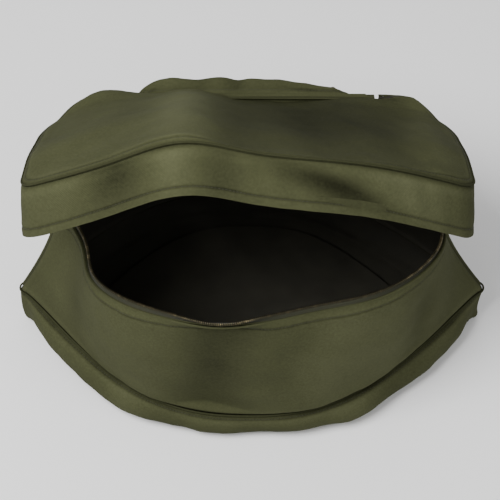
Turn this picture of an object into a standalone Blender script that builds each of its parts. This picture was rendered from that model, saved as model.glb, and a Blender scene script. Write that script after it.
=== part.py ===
"""Wide canvas tool bag with a zipped lid, standing open.

Metres, +Z up, +Y towards the back. The origin is at the middle of the bottom.
The body is boat-shaped: a front and a back panel meet at two pointed ends and stand on a turned-up base pan.
The lid turns on a straight hinge line behind the mouth, and is bowed: it stands higher in the middle than
at its ends.
"""
import math

import bmesh
import bpy
import numpy as np
from mathutils import Matrix, Vector

# Cloth and clearances
CLOTH = 0.0018          # one doubled layer of canvas
FACING = 0.0012         # a turned hem layer
TAPE = 0.0008           # woven zip tape
GAP = 0.0003            # clearance between sewn layers
PIPING = 0.0022         # radius of the corded seam binding

# Base pan
BASE_HALF_LENGTH = 0.2505
BASE_HALF_DEPTH = 0.147
BASE_TIP_RADIUS = 0.008
BASE_FULLNESS = 2.5     # powers of the base seam's outline: how full its sides are
BASE_SLIMNESS = 1.3     # and how slim its ends
SEAM_HEIGHT = 0.038     # base seam above the floor in the middle of each side
NUB_HEIGHT = 0.060      # and at the two ends
PAN_BULGE = 0.008       # how far the pan swells out below the seam
SIDE_BULGE = 0.009      # swelling added between the middle and the ends
END_FADE = 0.85         # share of the swelling lost at the two ends
PAN_INSET = 0.016       # flat bottom to seam, in plan
PAN_ROWS = ((1, 0), (0.8, 0.6), (0.55, 1), (0.3, 0.8), (0.1, -0.1), (0, -PAN_INSET / PAN_BULGE))
BOARD_INSET = 0.034
BOARD_END_INSET = 0.0714
BOARD_THICKNESS = 0.003
LINING = 0.001

# Rim of the mouth
END_REACH = 0.0545      # how far the base reaches past the rim at each end
RIM_HALF_LENGTH = BASE_HALF_LENGTH - END_REACH
END_SEAM_STOP = 0.045   # the bound end seams stop this far under the rim, clear of the shut lid's hem
RIM_FRONT = 0.132
RIM_FRONT_FULLNESS = 2.3
RIM_HEIGHT = 0.205
BACK_EDGE = 0.121       # top edge of the back panel, in Y
RIM_BACK_FULLNESS = 4.6
BACK_HEIGHT = RIM_HEIGHT + 0.040
SHOULDER_Y = 0.050      # where the rim starts to climb towards the hinge
SHOULDER_CURVE = 1.3
BACK_ROLL = 0.019       # how far the back panel swells out under its top edge
FRONT_SWELL = 0.005
END_HOLLOW = 0.35       # how much the walls hollow in towards the two ends
BACK_FLAT = (0.45, 0.22)    # share of the length where the swelling starts to fade, and how fast
FRONT_FLAT = (0.55, 0.45)
FRONT_ROWS = ((0, 0, 0), (0.12, 0.4, 0), (0.35, 0.9, 0), (0.6, 1, 0), (0.85, 0.5, 0), (1, 0, 0))
BACK_ROWS = ((0, 0, 0), (0.15, 0.25, 0), (0.4, 0.55, 0), (0.65, 0.85, 0), (0.83, 1, 0),
             (0.93, 0.95, 0.15), (0.985, 0.62, 0.5), (1, 0, 0))   # height, swell out and up

# Lid, measured as it lies shut
HINGE_Y = 0.117
HINGE_Z = BACK_HEIGHT + 0.005
HINGE_HALF_LENGTH = RIM_HALF_LENGTH - 0.061
HINGE_TAPE_MARGIN = 0.010
HINGE_TAPE_WIDTH = 0.012
HINGE_TAPE_DROP = 0.007
HINGE_TAPE_SET = 0.002
LID_HALF_LENGTH = RIM_HALF_LENGTH + 0.015
LID_FRONT = 0.143
LID_FRONT_CURVE = 2.5
LID_CORNER_Y = 0.098    # where the front corners stand, in front of the origin
LID_CORNER_RADIUS = 0.018
LID_BACK_CORNER = 0.077
LID_CROWN = 0.007
CROWN_REACH = 0.15      # a part of the lid this deep has its full crown
LID_EDGE_INSET = 0.001  # the top panel stops this far short of the hinge line
LID_END_INSET = 0.002
SKIRT_MIDDLE = 0.047
SKIRT_CORNER = 0.052
SKIRT_TAIL = 0.005      # height left beside the hinge
SKIRT_TAIL_LENGTH = 0.060   # how far the tail runs before the skirt grows
SKIRT_GROWTH = 0.110
SKIRT_FLARE = 0.002

# How the lid stands: degrees of opening at the middle, lost at the ends, and added at its peak
OPENING = 39.2
END_DROOP = 11.2
DROOP_CURVE = 2.6
PEAK_RISE = 3.4
PEAK_X = -0.058
PEAK_WIDTH = 0.060

# Zip
ZIP_RISE = 0.004        # tape above the rim
ZIP_DEPTH = 0.010       # tape below the rim
CHAIN_WIDTH = 0.0028
CHAIN_HEIGHT = 0.0024
HEM_DEPTH = 0.016
TAPE_TAIL = 0.012       # tape left beyond the teeth
SKIRT_TURN = 0.003      # how far the lid's hem and tape lie above the skirt's lower edge
LID_HEM_DEPTH = 0.011
LID_TAPE_DEPTH = 0.010
ZIP_END_Y = 0.044       # where the teeth end on each side
SLIDER_Y = 0.036
SLIDER_LENGTH = 0.011
SLIDER_WIDTH = 0.0064
SLIDER_WALL = 0.0012
SLIDER_CLEARANCE = 0.0005
SLIDER_SKIRT = 0.0010
CROWN_LENGTH = 0.008
CROWN_HEIGHT = 0.0046
CROWN_WIDTH = 0.0022
PULLER_LENGTH = 0.024
PULLER_WIDTH = 0.0092
PULLER_THICKNESS = 0.0014
PULLER_BAR = 0.0016
PULLER_EYE = 0.007
PULLER_TAPER = 0.8
PULLER_EYE_SHOULDER = 0.7
STOP_LENGTH = 0.004

# Grab handle on the back panel
HANDLE_SPAN = 0.180     # between the middles of its patches
HANDLE_WIDTH = 0.030
HANDLE_THICKNESS = 0.0036
HANDLE_HEIGHT = RIM_HEIGHT + 0.001
HANDLE_BOW = 0.006      # how far its middle stands off the panel
HANDLE_SEAT = 0.0010    # clearance under the sewn ends
PATCH_SEAT = 0.0010
PATCH_SIZE = 0.042
PATCH_MARGIN = 0.004
RIVET_RADIUS = 0.0045
RIVET_HEIGHT = 0.0022
RIVET_SPACING = 0.024

STATIONS = 32           # along a panel
RING_STATIONS = 64      # round the base


def power(value, exponent):
    """Raise to a power, keeping the sign."""
    return math.copysign(abs(value) ** exponent, value)


def smooth(value):
    """Ease from 0 to 1."""
    value = min(1.0, max(0.0, value))
    return value * value * (3 - 2 * value)


def resample(points, count):
    """Points at equal steps along a polyline, count + 1 of them; columns after the third go along with them."""
    points = np.array(points)
    steps = np.linalg.norm(np.diff(points[:, :3], axis=0), axis=1)
    along = np.concatenate([[0], np.cumsum(steps)])
    wanted = np.linspace(0, along[-1], count + 1)
    return np.column_stack([np.interp(wanted, along, points[:, axis]) for axis in range(points.shape[1])])


def plan_normals(curve, closed=False):
    """Horizontal normals on a curve's right-hand side."""
    if closed:
        tangents = np.roll(curve, -1, axis=0) - np.roll(curve, 1, axis=0)
    else:
        tangents = np.gradient(curve, axis=0)
    normals = np.column_stack([tangents[:, 1], -tangents[:, 0], np.zeros(len(curve))])
    return normals / np.linalg.norm(normals, axis=1)[:, None]


def material(name, colour, roughness, metallic=0.0):
    """A plain Principled material."""
    made = bpy.data.materials.get(name) or bpy.data.materials.new(name)
    made.use_nodes = True
    shader = made.node_tree.nodes["Principled BSDF"]
    shader.inputs["Base Color"].default_value = (*colour, 1)
    shader.inputs["Roughness"].default_value = roughness
    shader.inputs["Metallic"].default_value = metallic
    return made


def canvas():
    return material("canvas", (0.063, 0.063, 0.030), 0.9)


def dark_cloth():
    return material("dark_cloth", (0.035, 0.035, 0.018), 0.9)


def webbing():
    return material("webbing", (0.050, 0.050, 0.026), 0.8)


def board():
    return material("board", (0.020, 0.019, 0.016), 0.7)


def metal():
    return material("dark_brass", (0.16, 0.13, 0.07), 0.4, 1.0)


def finish(name, mesh_maker, look, pivot=(0, 0, 0), parent=None):
    """Make one object from a bmesh, with its origin on the pivot."""
    bmesh.ops.recalc_face_normals(mesh_maker, faces=mesh_maker.faces[:])
    if mesh_maker.calc_volume(signed=True) < 0:
        bmesh.ops.reverse_faces(mesh_maker, faces=mesh_maker.faces[:])
    bmesh.ops.translate(mesh_maker, verts=mesh_maker.verts[:], vec=-Vector(pivot))
    mesh = bpy.data.meshes.new(name)
    mesh_maker.to_mesh(mesh)
    mesh_maker.free()
    mesh.materials.append(look)
    mesh.shade_smooth()
    mesh.set_sharp_from_angle(angle=math.radians(40))
    made = bpy.data.objects.new(name, mesh)
    bpy.context.collection.objects.link(made)
    if parent:
        made.parent = parent
        made.location = Vector(pivot) - parent.location
    else:
        made.location = pivot
    return made


def shell(outer, inner, closed=False):
    """A closed skin between two grids of points, each a list of stations with the same number of rows."""
    outer = np.array(outer)
    inner = np.array(inner)
    stations, rows = outer.shape[:2]
    made = bmesh.new()
    out = [[made.verts.new(point) for point in station] for station in outer]
    into = [[made.verts.new(point) for point in station] for station in inner]
    for i in range(stations if closed else stations - 1):
        j = (i + 1) % stations
        for k in range(rows - 1):
            made.faces.new((out[i][k], out[j][k], out[j][k + 1], out[i][k + 1]))
            made.faces.new((into[i][k + 1], into[j][k + 1], into[j][k], into[i][k]))
        made.faces.new((out[j][0], out[i][0], into[i][0], into[j][0]))
        made.faces.new((out[i][-1], out[j][-1], into[j][-1], into[i][-1]))
    if not closed:
        for i in (0, stations - 1):
            for k in range(rows - 1):
                made.faces.new((out[i][k], out[i][k + 1], into[i][k + 1], into[i][k]))
    return made


def cap(grid_mesh, loop_points):
    """Fill the flat loop that runs through the given points."""
    found = []
    for point in loop_points:
        found.append(min(grid_mesh.verts, key=lambda vertex: (vertex.co - Vector(point)).length))
    grid_mesh.faces.new(found)


def strip(curve, normals, near, far, low, high, up=(0, 0, 1)):
    """A flat strip along a curve: near and far are its faces along the normals, low and high its edges."""
    ups = np.broadcast_to(up, curve.shape)
    lows = np.broadcast_to(low, len(curve))
    highs = np.broadcast_to(high, len(curve))
    faces = []
    for depth in (far, near):
        surface = curve + normals * depth
        faces.append(np.stack([surface + ups * lows[:, None], surface + ups * highs[:, None]], axis=1))
    return shell(*faces)


def tube(curve, radius, sides=6, closed=False):
    """A round cord along a curve."""
    curve = np.array(curve)
    if closed:
        tangents = np.roll(curve, -1, axis=0) - np.roll(curve, 1, axis=0)
    else:
        tangents = np.gradient(curve, axis=0)
    made = bmesh.new()
    rings = []
    for point, tangent in zip(curve, tangents):
        tangent = Vector(tangent).normalized()
        side = Vector((tangent.y, -tangent.x, 0)).normalized()
        upward = side.cross(tangent)
        turns = [2 * math.pi * k / sides for k in range(sides)]
        centre = Vector(point)
        ring = [made.verts.new(centre + radius * (math.cos(a) * side + math.sin(a) * upward)) for a in turns]
        rings.append(ring)
    for i in range(len(rings) if closed else len(rings) - 1):
        j = (i + 1) % len(rings)
        for k in range(sides):
            m = (k + 1) % sides
            made.faces.new((rings[i][k], rings[i][m], rings[j][m], rings[j][k]))
    if not closed:
        made.faces.new(rings[0])
        made.faces.new(rings[-1])
    return made


# Curves of the body


def base_curve(side):
    """The base seam from the right end to the left end; side is -1 for the front and 1 for the back."""
    length = BASE_HALF_LENGTH - BASE_TIP_RADIUS
    depth = BASE_HALF_DEPTH - BASE_TIP_RADIUS
    spine = []
    for x in np.linspace(length, -length, 161):
        share = abs(x) / length
        spine.append((x, side * depth * (1 - share ** BASE_FULLNESS) ** BASE_SLIMNESS, 0))
    spine = np.array(spine)
    normals = plan_normals(spine) * side
    points = []
    for k in range(9):
        turn = math.pi / 2 * k / 9
        normals_at = np.array([math.cos(turn), side * math.sin(turn), 0])
        points.append(spine[0] + BASE_TIP_RADIUS * normals_at)
    points.extend(spine[1:-1] + BASE_TIP_RADIUS * normals[1:-1])
    for k in range(8, -1, -1):
        turn = math.pi / 2 * k / 9
        normals_at = np.array([-math.cos(turn), side * math.sin(turn), 0])
        points.append(spine[-1] + BASE_TIP_RADIUS * normals_at)
    points = np.array(points)
    share = np.abs(points[:, 0]) / BASE_HALF_LENGTH
    points[:, 2] = SEAM_HEIGHT + (NUB_HEIGHT - SEAM_HEIGHT) * share ** 2
    return points


def rim_curve(side):
    """The mouth's edge from the right tip to the left tip."""
    depth, fullness = (RIM_FRONT, RIM_FRONT_FULLNESS) if side < 0 else (BACK_EDGE, RIM_BACK_FULLNESS)
    points = []
    for turn in np.linspace(0, math.pi, 721):
        x = RIM_HALF_LENGTH * power(math.cos(turn), 2 / fullness)
        y = side * depth * abs(math.sin(turn)) ** (2 / fullness)
        climb = max(0.0, (y - SHOULDER_Y) / (BACK_EDGE - SHOULDER_Y))
        rise = (BACK_HEIGHT - RIM_HEIGHT) * climb ** SHOULDER_CURVE
        points.append((x, y, RIM_HEIGHT + rise))
    return np.array(points)


def wall_grid(side, inward=0.0, raise_foot=0.0):
    """Stations of a body wall from its foot on the base seam to the rim, moved inward by a thickness."""
    foot = resample(base_curve(side), STATIONS)
    rim = resample(rim_curve(side), STATIONS)
    outward = plan_normals(rim) * side
    if side < 0:
        rows, swell, flat_from = FRONT_ROWS, FRONT_SWELL, FRONT_FLAT
    else:
        rows, swell, flat_from = BACK_ROWS, BACK_ROLL, BACK_FLAT
    grid = []
    for place, (low, high, normal) in enumerate(zip(foot, rim, outward)):
        along = abs(high[0]) / RIM_HALF_LENGTH
        middle = 1 - smooth((along - flat_from[0]) / flat_from[1])
        station = []
        for share, out, lift in rows:
            inset = 1 - (1 - share) ** (1 + END_HOLLOW * along ** 4)
            point = low + (high - low) * np.array([inset, inset if side < 0 else share, share])
            point = point + normal * (out * swell * middle)
            point[2] += lift * swell * middle
            if share == 0:
                point[2] += raise_foot
            station.append(point)
        station = np.array(station)
        run = np.gradient(station, axis=0)
        flat = run @ normal
        length = np.hypot(flat, run[:, 2])
        foot_height = station[0, 2]
        across = np.outer(-run[:, 2] / length, normal) + np.outer(flat / length, (0, 0, 1))
        station = station + inward * across
        station[0, 2] = foot_height
        # Keep the two ends of a wall in the plane where front and back meet.
        if place in (0, STATIONS):
            for point in station:
                point[1] = side * GAP
        grid.append(station)
    return np.array(grid)


def wall(name, side):
    """A front or back panel of the body."""
    outer = wall_grid(side, raise_foot=GAP)
    inner = wall_grid(side, inward=CLOTH, raise_foot=GAP)
    finish(name, shell(outer, inner), canvas())


def base_loop():
    """The base seam all round, anticlockwise from above."""
    back = base_curve(1)
    front = base_curve(-1)[::-1]
    loop = np.vstack([back[:-1], front[:-1]])
    return resample(np.vstack([loop, loop[:1]]), RING_STATIONS)[:-1]


def base_panel():
    """The pan: a flat bottom with a swelling side that turns up to the base seam."""
    loop = base_loop()
    normals = plan_normals(loop, closed=True)
    grids = []
    for layer in (0, CLOTH):
        grid = []
        for point, normal in zip(loop, normals):
            share = abs(point[0]) / BASE_HALF_LENGTH
            bulge = PAN_BULGE * (1 - END_FADE * share ** 5) + SIDE_BULGE * 4 * share ** 2 * (1 - share ** 2)
            station = []
            for height, out in PAN_ROWS:
                swell = out * (bulge if out > 0 else PAN_BULGE)
                spot = point + normal * (swell - layer)
                spot[2] = max(point[2] * height, layer if height < 0.05 else 0)
                station.append(spot)
            grid.append(station)
        grids.append(np.array(grid))
    outer, inner = grids
    made = shell(outer, inner, closed=True)
    rims = [face for face in made.faces if all(vertex.co.z < CLOTH + 1e-6 for vertex in face.verts)]
    bmesh.ops.delete(made, geom=rims, context="FACES_ONLY")
    cap(made, [station[-1] for station in outer])
    cap(made, [station[-1] for station in inner])
    finish("base_panel", made, canvas())


def plate(name, low, thickness, look):
    """A flat layer in the bottom of the pan."""
    loop = base_loop()
    shrink = 1 - BOARD_INSET / BASE_HALF_DEPTH
    squeeze = 1 - BOARD_END_INSET / BASE_HALF_LENGTH
    made = bmesh.new()
    floor = [made.verts.new((x * squeeze, y * shrink, low)) for x, y, _ in loop]
    face = made.faces.new(floor)
    risen = bmesh.ops.extrude_face_region(made, geom=[face], use_keep_orig=True)
    moved = [item for item in risen["geom"] if isinstance(item, bmesh.types.BMVert)]
    bmesh.ops.translate(made, verts=moved, vec=(0, 0, thickness))
    finish(name, made, look)


def base_layers():
    board_floor = CLOTH + GAP
    plate("base_board", board_floor, BOARD_THICKNESS, board())
    lining_floor = board_floor + BOARD_THICKNESS + GAP
    plate("base_lining", lining_floor, LINING, dark_cloth())


def base_binding():
    """Corded binding round the base seam."""
    loop = base_loop()
    away = loop + plan_normals(loop, closed=True) * (PIPING + GAP)
    away[:, 2] += PIPING
    finish("base_binding", tube(away, PIPING, closed=True), canvas())


def end_bindings():
    """The bound seams where front and back meet at the two ends."""
    for name, column in (("end_binding_right", 0), ("end_binding_left", STATIONS)):
        seam = wall_grid(-1)[column]
        hand = 1 if column == 0 else -1
        seam[:, 1] = 0
        line = resample(seam, 14)[1:]
        line = line[line[:, 2] < RIM_HEIGHT - END_SEAM_STOP]
        line[:, 0] += hand * (PIPING + 2 * GAP)
        line[0, 2] += 2 * PIPING
        finish(name, tube(line, PIPING), canvas())


# Rim hem and zip of the body


def mouth_edge():
    """The rim from the hinge's right end round the front to its left end, with the wall's outward and upward."""
    back = wall_grid(1)
    front = wall_grid(-1)
    rising = []
    for grid, below in ((back, -4), (front, -2)):
        lean = grid[:, -1] - grid[:, below]
        lean = lean / np.linalg.norm(lean, axis=1)[:, None]
        rising.append(np.hstack([grid[:, -1], lean]))
    back_rim, front_rim = rising
    keep_right = [p for p in back_rim if p[0] > HINGE_HALF_LENGTH]
    keep_left = [p for p in back_rim if p[0] < -HINGE_HALF_LENGTH]
    path = keep_right[::-1] + list(front_rim[1:-1]) + keep_left[::-1]
    path = resample(path, 2 * STATIONS)
    curve, up = path[:, :3], path[:, 3:]
    outward = np.cross(up, np.gradient(curve, axis=0))
    return curve, outward / np.linalg.norm(outward, axis=1)[:, None], up


def rim_layers():
    """The turned hem inside the rim, then the zip's tape and its teeth."""
    curve, outward, up = mouth_edge()
    hem = -(CLOTH + 2 * GAP)
    finish("rim_facing", strip(curve, outward, hem - FACING, hem, -HEM_DEPTH, -GAP, up), dark_cloth())
    tape = hem - FACING - GAP
    run = curve[:, 1] < ZIP_END_Y + TAPE_TAIL
    woven = strip(curve[run], outward[run], tape - TAPE, tape, -ZIP_DEPTH, ZIP_RISE, up[run])
    finish("zip_tape_body", woven, webbing())
    middle = tape - TAPE / 2
    half = CHAIN_WIDTH / 2
    foot = ZIP_RISE + GAP
    run = curve[:, 1] < ZIP_END_Y
    chain = strip(curve[run], outward[run], middle - half, middle + half, foot, foot + CHAIN_HEIGHT, up[run])
    finish("zip_chain_body", chain, metal())


# Lid, drawn shut and then raised


def opening_at(x):
    """How far the lid stands open at a place along its width, in radians."""
    droop = END_DROOP * (abs(x) / LID_HALF_LENGTH) ** DROOP_CURVE
    peak = PEAK_RISE * math.exp(-((x - PEAK_X) / PEAK_WIDTH) ** 2)
    return math.radians(OPENING - droop + peak)


def raise_lid(made):
    """Turn each point of a shut lid piece about the hinge line by the opening at its place."""
    for vertex in made.verts:
        angle = opening_at(vertex.co.x)
        ahead = vertex.co.y - HINGE_Y
        above = vertex.co.z - HINGE_Z
        vertex.co.y = HINGE_Y + ahead * math.cos(angle) + above * math.sin(angle)
        vertex.co.z = HINGE_Z - ahead * math.sin(angle) + above * math.cos(angle)


def lid_front_at(x):
    return -LID_FRONT + (LID_FRONT - LID_CORNER_Y) * (abs(x) / LID_HALF_LENGTH) ** LID_FRONT_CURVE


def lid_outline():
    """Plan of the shut lid from the hinge's right end round the front to its left end."""
    half = []
    side_y = HINGE_Y - LID_BACK_CORNER
    for turn in np.linspace(0, math.pi / 2, 25):
        x = HINGE_HALF_LENGTH + (LID_HALF_LENGTH - HINGE_HALF_LENGTH) * math.sin(turn)
        half.append((x, side_y + LID_BACK_CORNER * math.cos(turn), HINGE_Z))
    start = np.array([LID_HALF_LENGTH, -LID_CORNER_Y + LID_CORNER_RADIUS, HINGE_Z])
    corner = np.array([LID_HALF_LENGTH, -LID_CORNER_Y, HINGE_Z])
    end_x = LID_HALF_LENGTH - LID_CORNER_RADIUS
    end = np.array([end_x, lid_front_at(end_x), HINGE_Z])
    for t in np.linspace(0, 1, 13):
        half.append(tuple((1 - t) ** 2 * start + 2 * t * (1 - t) * corner + t * t * end))
    for x in np.linspace(end_x, 0, 60)[1:]:
        half.append((x, lid_front_at(x), HINGE_Z))
    half = np.array(half)
    return np.vstack([half, half[-2::-1] * np.array([-1, 1, 1])])


def lid_edge():
    """The lid's outline at equal steps, its outward normals, and the skirt's height at each step."""
    outline = lid_outline()
    curve = resample(outline, 2 * STATIONS)
    outward = -plan_normals(curve)
    length = np.linalg.norm(np.diff(outline, axis=0), axis=1).sum()
    along = np.linspace(0, length, len(curve))
    heights = []
    for point, place in zip(curve, np.minimum(along, length - along)):
        full = SKIRT_MIDDLE + (SKIRT_CORNER - SKIRT_MIDDLE) * (abs(point[0]) / LID_HALF_LENGTH) ** 2
        heights.append(SKIRT_TAIL + (full - SKIRT_TAIL) * smooth((place - SKIRT_TAIL_LENGTH) / SKIRT_GROWTH))
    return curve, outward, np.array(heights)


def lid_piece(name, made, look, parent):
    raise_lid(made)
    finish(name, made, look, pivot=(0, HINGE_Y, HINGE_Z), parent=parent)


def lid_top(parent):
    """The top panel, crowned between the hinge line and its sewn edge."""
    curve = lid_edge()[0]
    count = len(curve)
    grids = []
    for layer in (CLOTH, 0):
        grid = []
        for place, point in enumerate(curve):
            hinge_x = HINGE_HALF_LENGTH * (1 - 2 * place / (count - 1))
            hinge = np.array([hinge_x, HINGE_Y - LID_EDGE_INSET, HINGE_Z])
            station = []
            for share in (0, 0.06, 0.25, 0.5, 0.75, 1):
                spot = point + (hinge - point) * share
                reach = np.linalg.norm((hinge - point)[:2])
                spot[2] += layer + LID_CROWN * 4 * share * (1 - share) * smooth(reach / CROWN_REACH)
                station.append(spot)
            grid.append(station)
        grids.append(np.array(grid))
    for grid in grids:
        grid[0] += (0, -LID_END_INSET, 0)
        grid[-1] += (0, -LID_END_INSET, 0)
    lid_piece("lid_top", shell(*grids), canvas(), parent)


def lid_layers(parent):
    """The skirt, the turned hem inside it, the zip's other tape and teeth, and the corded seam above."""
    curve, outward, heights = lid_edge()
    up = np.array([0, 0, 1])
    skirt_out = []
    skirt_in = []
    for point, normal, height in zip(curve, outward, heights):
        flare = SKIRT_FLARE * height / SKIRT_MIDDLE
        rows = [(0, 0), (0.5, 0.8), (1, 1)]
        skirt_out.append([point + normal * flare * out - up * (GAP + height * down) for down, out in rows])
        skirt_in.append([spot - normal * CLOTH for spot in skirt_out[-1]])
    lid_piece("lid_skirt", shell(skirt_out, skirt_in), canvas(), parent)

    away = curve + outward * (PIPING + GAP)
    first = len(curve) // 10
    lid_piece("lid_binding", tube(away[first:-first], PIPING), canvas(), parent)

    keep = slice(len(curve) // 6, -(len(curve) // 6))
    line, normals, drop = curve[keep], outward[keep], heights[keep]
    low = SKIRT_TURN - drop
    hem = -(CLOTH + GAP)
    facing = strip(line, normals, hem - FACING, hem, low, low + LID_HEM_DEPTH)
    lid_piece("lid_hem", facing, dark_cloth(), parent)
    tape = hem - FACING - GAP
    woven = strip(line, normals, tape - TAPE, tape, low, low + LID_TAPE_DEPTH)
    lid_piece("zip_tape_lid", woven, webbing(), parent)
    middle = tape - TAPE / 2
    half = CHAIN_WIDTH / 2
    top = low - GAP
    chain = strip(line, normals, middle - half, middle + half, top - CHAIN_HEIGHT, top)
    lid_piece("zip_chain_lid", chain, metal(), parent)


def hinge_tape():
    """The folded strip under the hinge line."""
    half = HINGE_HALF_LENGTH - HINGE_TAPE_MARGIN
    curve = np.array([(x, HINGE_Y, HINGE_Z - HINGE_TAPE_DROP) for x in np.linspace(half, -half, 21)])
    outward = np.tile((0, 1, 0), (len(curve), 1))
    finish("hinge_tape", strip(curve, outward, -HINGE_TAPE_WIDTH, -HINGE_TAPE_SET, 0, CLOTH), dark_cloth())


# Zip fittings, on the straight stretch at the right end of the rim


def parked_slider():
    """Where the parked slider sits: the middle of the teeth."""
    curve, outward, up = mouth_edge()
    back_part = [k for k in range(len(curve)) if curve[k][0] > 0 and curve[k][1] > SLIDER_Y]
    k = back_part[-1]
    share = (curve[k][1] - SLIDER_Y) / (curve[k][1] - curve[k + 1][1])
    edge = curve[k] + (curve[k + 1] - curve[k]) * share
    depth = CLOTH + 2 * GAP + FACING + GAP + TAPE / 2
    middle = edge - outward[k] * depth + up[k] * (ZIP_RISE + GAP + CHAIN_HEIGHT / 2)
    return Vector(middle)


def channel(centre, length, half_width, wall, low, high):
    """An upside-down trough along Y."""
    outside = [(half_width, low), (half_width, high), (-half_width, high), (-half_width, low)]
    inner_half = half_width - wall
    inside = [(inner_half, low), (inner_half, high - wall), (-inner_half, high - wall), (-inner_half, low)]
    grids = []
    for profile in (outside, inside):
        ends = [centre.y - length / 2, centre.y + length / 2]
        grids.append([[(centre.x + x, y, centre.z + z) for x, z in profile] for y in ends])
    return shell(*grids)


def zip_fittings():
    """The slider, its crown and puller, and the stops at both ends of the teeth."""
    centre = parked_slider()
    half = SLIDER_WIDTH / 2
    top = CHAIN_HEIGHT / 2 + SLIDER_CLEARANCE + SLIDER_WALL
    carriage = bpy.data.objects.new("zip_slide_axis", None)
    carriage.location = centre
    bpy.context.collection.objects.link(carriage)
    body = channel(centre, SLIDER_LENGTH, half, SLIDER_WALL, -CHAIN_HEIGHT / 2 - SLIDER_SKIRT, top)
    finish("zip_slider", body, metal(), pivot=centre, parent=carriage)
    crown_centre = centre + Vector((0, 0, top + GAP))
    crown = arch(crown_centre, CROWN_LENGTH, CROWN_HEIGHT, CROWN_WIDTH, SLIDER_WALL)
    finish("zip_crown", crown, metal(), pivot=centre, parent=carriage)
    pin = crown_centre + Vector((0, 0, PULLER_BAR / 2 + GAP))
    finish("zip_puller", puller(pin), metal(), pivot=pin, parent=carriage)

    for name, hand in (("zip_stop_right", 1), ("zip_stop_left", -1)):
        place = Vector((hand * centre.x, ZIP_END_Y + STOP_LENGTH, centre.z))
        made = channel(place, STOP_LENGTH, CHAIN_WIDTH / 2 + SLIDER_WALL, SLIDER_WALL,
                       -CHAIN_HEIGHT / 2 - SLIDER_SKIRT, CHAIN_HEIGHT / 2 + GAP)
        finish(name, made, metal())


def arch(foot, length, height, width, thickness):
    """A small bridge along Y that stands on its two ends."""
    grids = []
    for shrink in (0, thickness):
        across = []
        for x in (-width / 2, width / 2):
            line = []
            for turn in np.linspace(0, math.pi, 9):
                y = (length / 2 - shrink) * math.cos(turn)
                z = (height - shrink) * math.sin(turn)
                line.append((foot.x + x, foot.y + y, foot.z + z))
            across.append(line)
        grids.append(across)
    return shell(*grids)


def puller(pin):
    """A flat tab that points back along the zip, with an eye that the crown passes through."""
    half = PULLER_WIDTH / 2
    eye_half = half - PULLER_BAR
    bar = PULLER_BAR
    tip = half * PULLER_TAPER
    shoulder = PULLER_EYE * PULLER_EYE_SHOULDER
    outline = [(-half, -bar / 2), (half, -bar / 2), (half, PULLER_EYE + bar), (tip, PULLER_LENGTH),
               (-tip, PULLER_LENGTH), (-half, PULLER_EYE + bar)]
    eye = [(-eye_half, bar / 2), (eye_half, bar / 2), (eye_half, shoulder), (eye_half, PULLER_EYE),
           (-eye_half, PULLER_EYE), (-eye_half, shoulder)]
    grids = []
    for ring in (outline, eye):
        stations = []
        for x, y in ring:
            faces = (-PULLER_THICKNESS / 2, PULLER_THICKNESS / 2)
            stations.append([(pin.x + x, pin.y + y, pin.z + z) for z in faces])
        grids.append(stations)
    return shell(*grids, closed=True)


# Handle


def wall_depth(x, z):
    """Y of the back panel's outer face at a place."""
    grid = wall_grid(1)
    heights = []
    depths = []
    for k in range(grid.shape[1]):
        row = grid[::-1, k]
        heights.append(np.interp(x, row[:, 0], row[:, 2]))
        depths.append(np.interp(x, row[:, 0], row[:, 1]))
    return float(np.interp(z, heights[:-1], depths[:-1]))


def band(name, xs, low, high, near, far, look, rows=3):
    """A flat band on the back panel between two heights; near and far are its distances from the panel."""
    grids = []
    for offset in (far, near):
        stations = []
        for x in xs:
            heights = np.linspace(low, high, rows)
            lift = offset(x) if callable(offset) else offset
            proud = max(wall_depth(x, z) for z in np.linspace(low, high, 7))
            stations.append([(x, proud + lift, z) for z in heights])
        grids.append(stations)
    finish(name, shell(*grids), look)


def handle():
    """The grab strap, the patches over its ends, and two rivets through each patch."""
    free = HANDLE_SPAN / 2 - PATCH_SIZE / 2
    end = HANDLE_SPAN / 2 + PATCH_SIZE / 2 - PATCH_MARGIN

    def stand(x):
        return HANDLE_SEAT + HANDLE_BOW * math.cos(math.pi / 2 * min(1.0, abs(x) / free)) ** 2

    def face(x):
        return stand(x) + HANDLE_THICKNESS

    low = HANDLE_HEIGHT - HANDLE_WIDTH / 2
    high = HANDLE_HEIGHT + HANDLE_WIDTH / 2
    band("carry_handle", np.linspace(-end, end, 31), low, high, stand, face, webbing(), rows=2)
    patch_floor = HANDLE_SEAT + HANDLE_THICKNESS + PATCH_SEAT
    half = PATCH_SIZE / 2
    for name, hand in (("left", -1), ("right", 1)):
        middle = hand * HANDLE_SPAN / 2
        xs = np.linspace(middle - half, middle + half, 9)
        band("handle_patch_" + name, xs, HANDLE_HEIGHT - half, HANDLE_HEIGHT + half,
             patch_floor, patch_floor + CLOTH, canvas(), rows=2)
        for number, aside in ((1, -RIVET_SPACING / 2), (2, RIVET_SPACING / 2)):
            height = HANDLE_HEIGHT + aside
            rivet("handle_rivet_%s_%d" % (name, number), middle, height, patch_floor + CLOTH + GAP)


def rivet(name, x, z, lift):
    """A domed rivet head on a patch."""
    heights = np.linspace(HANDLE_HEIGHT - PATCH_SIZE / 2, HANDLE_HEIGHT + PATCH_SIZE / 2, 7)
    seat = max(wall_depth(x + a, h) for a in (-RIVET_RADIUS, 0, RIVET_RADIUS) for h in heights) + lift
    made = bmesh.new()
    bmesh.ops.create_cone(made, cap_ends=True, segments=12, radius1=RIVET_RADIUS, radius2=RIVET_RADIUS * 0.7,
                          depth=RIVET_HEIGHT)
    bmesh.ops.rotate(made, verts=made.verts[:], matrix=Matrix.Rotation(-math.pi / 2, 3, "X"))
    bmesh.ops.translate(made, verts=made.verts[:], vec=(x, seat + RIVET_HEIGHT / 2, z))
    finish(name, made, metal())


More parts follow.
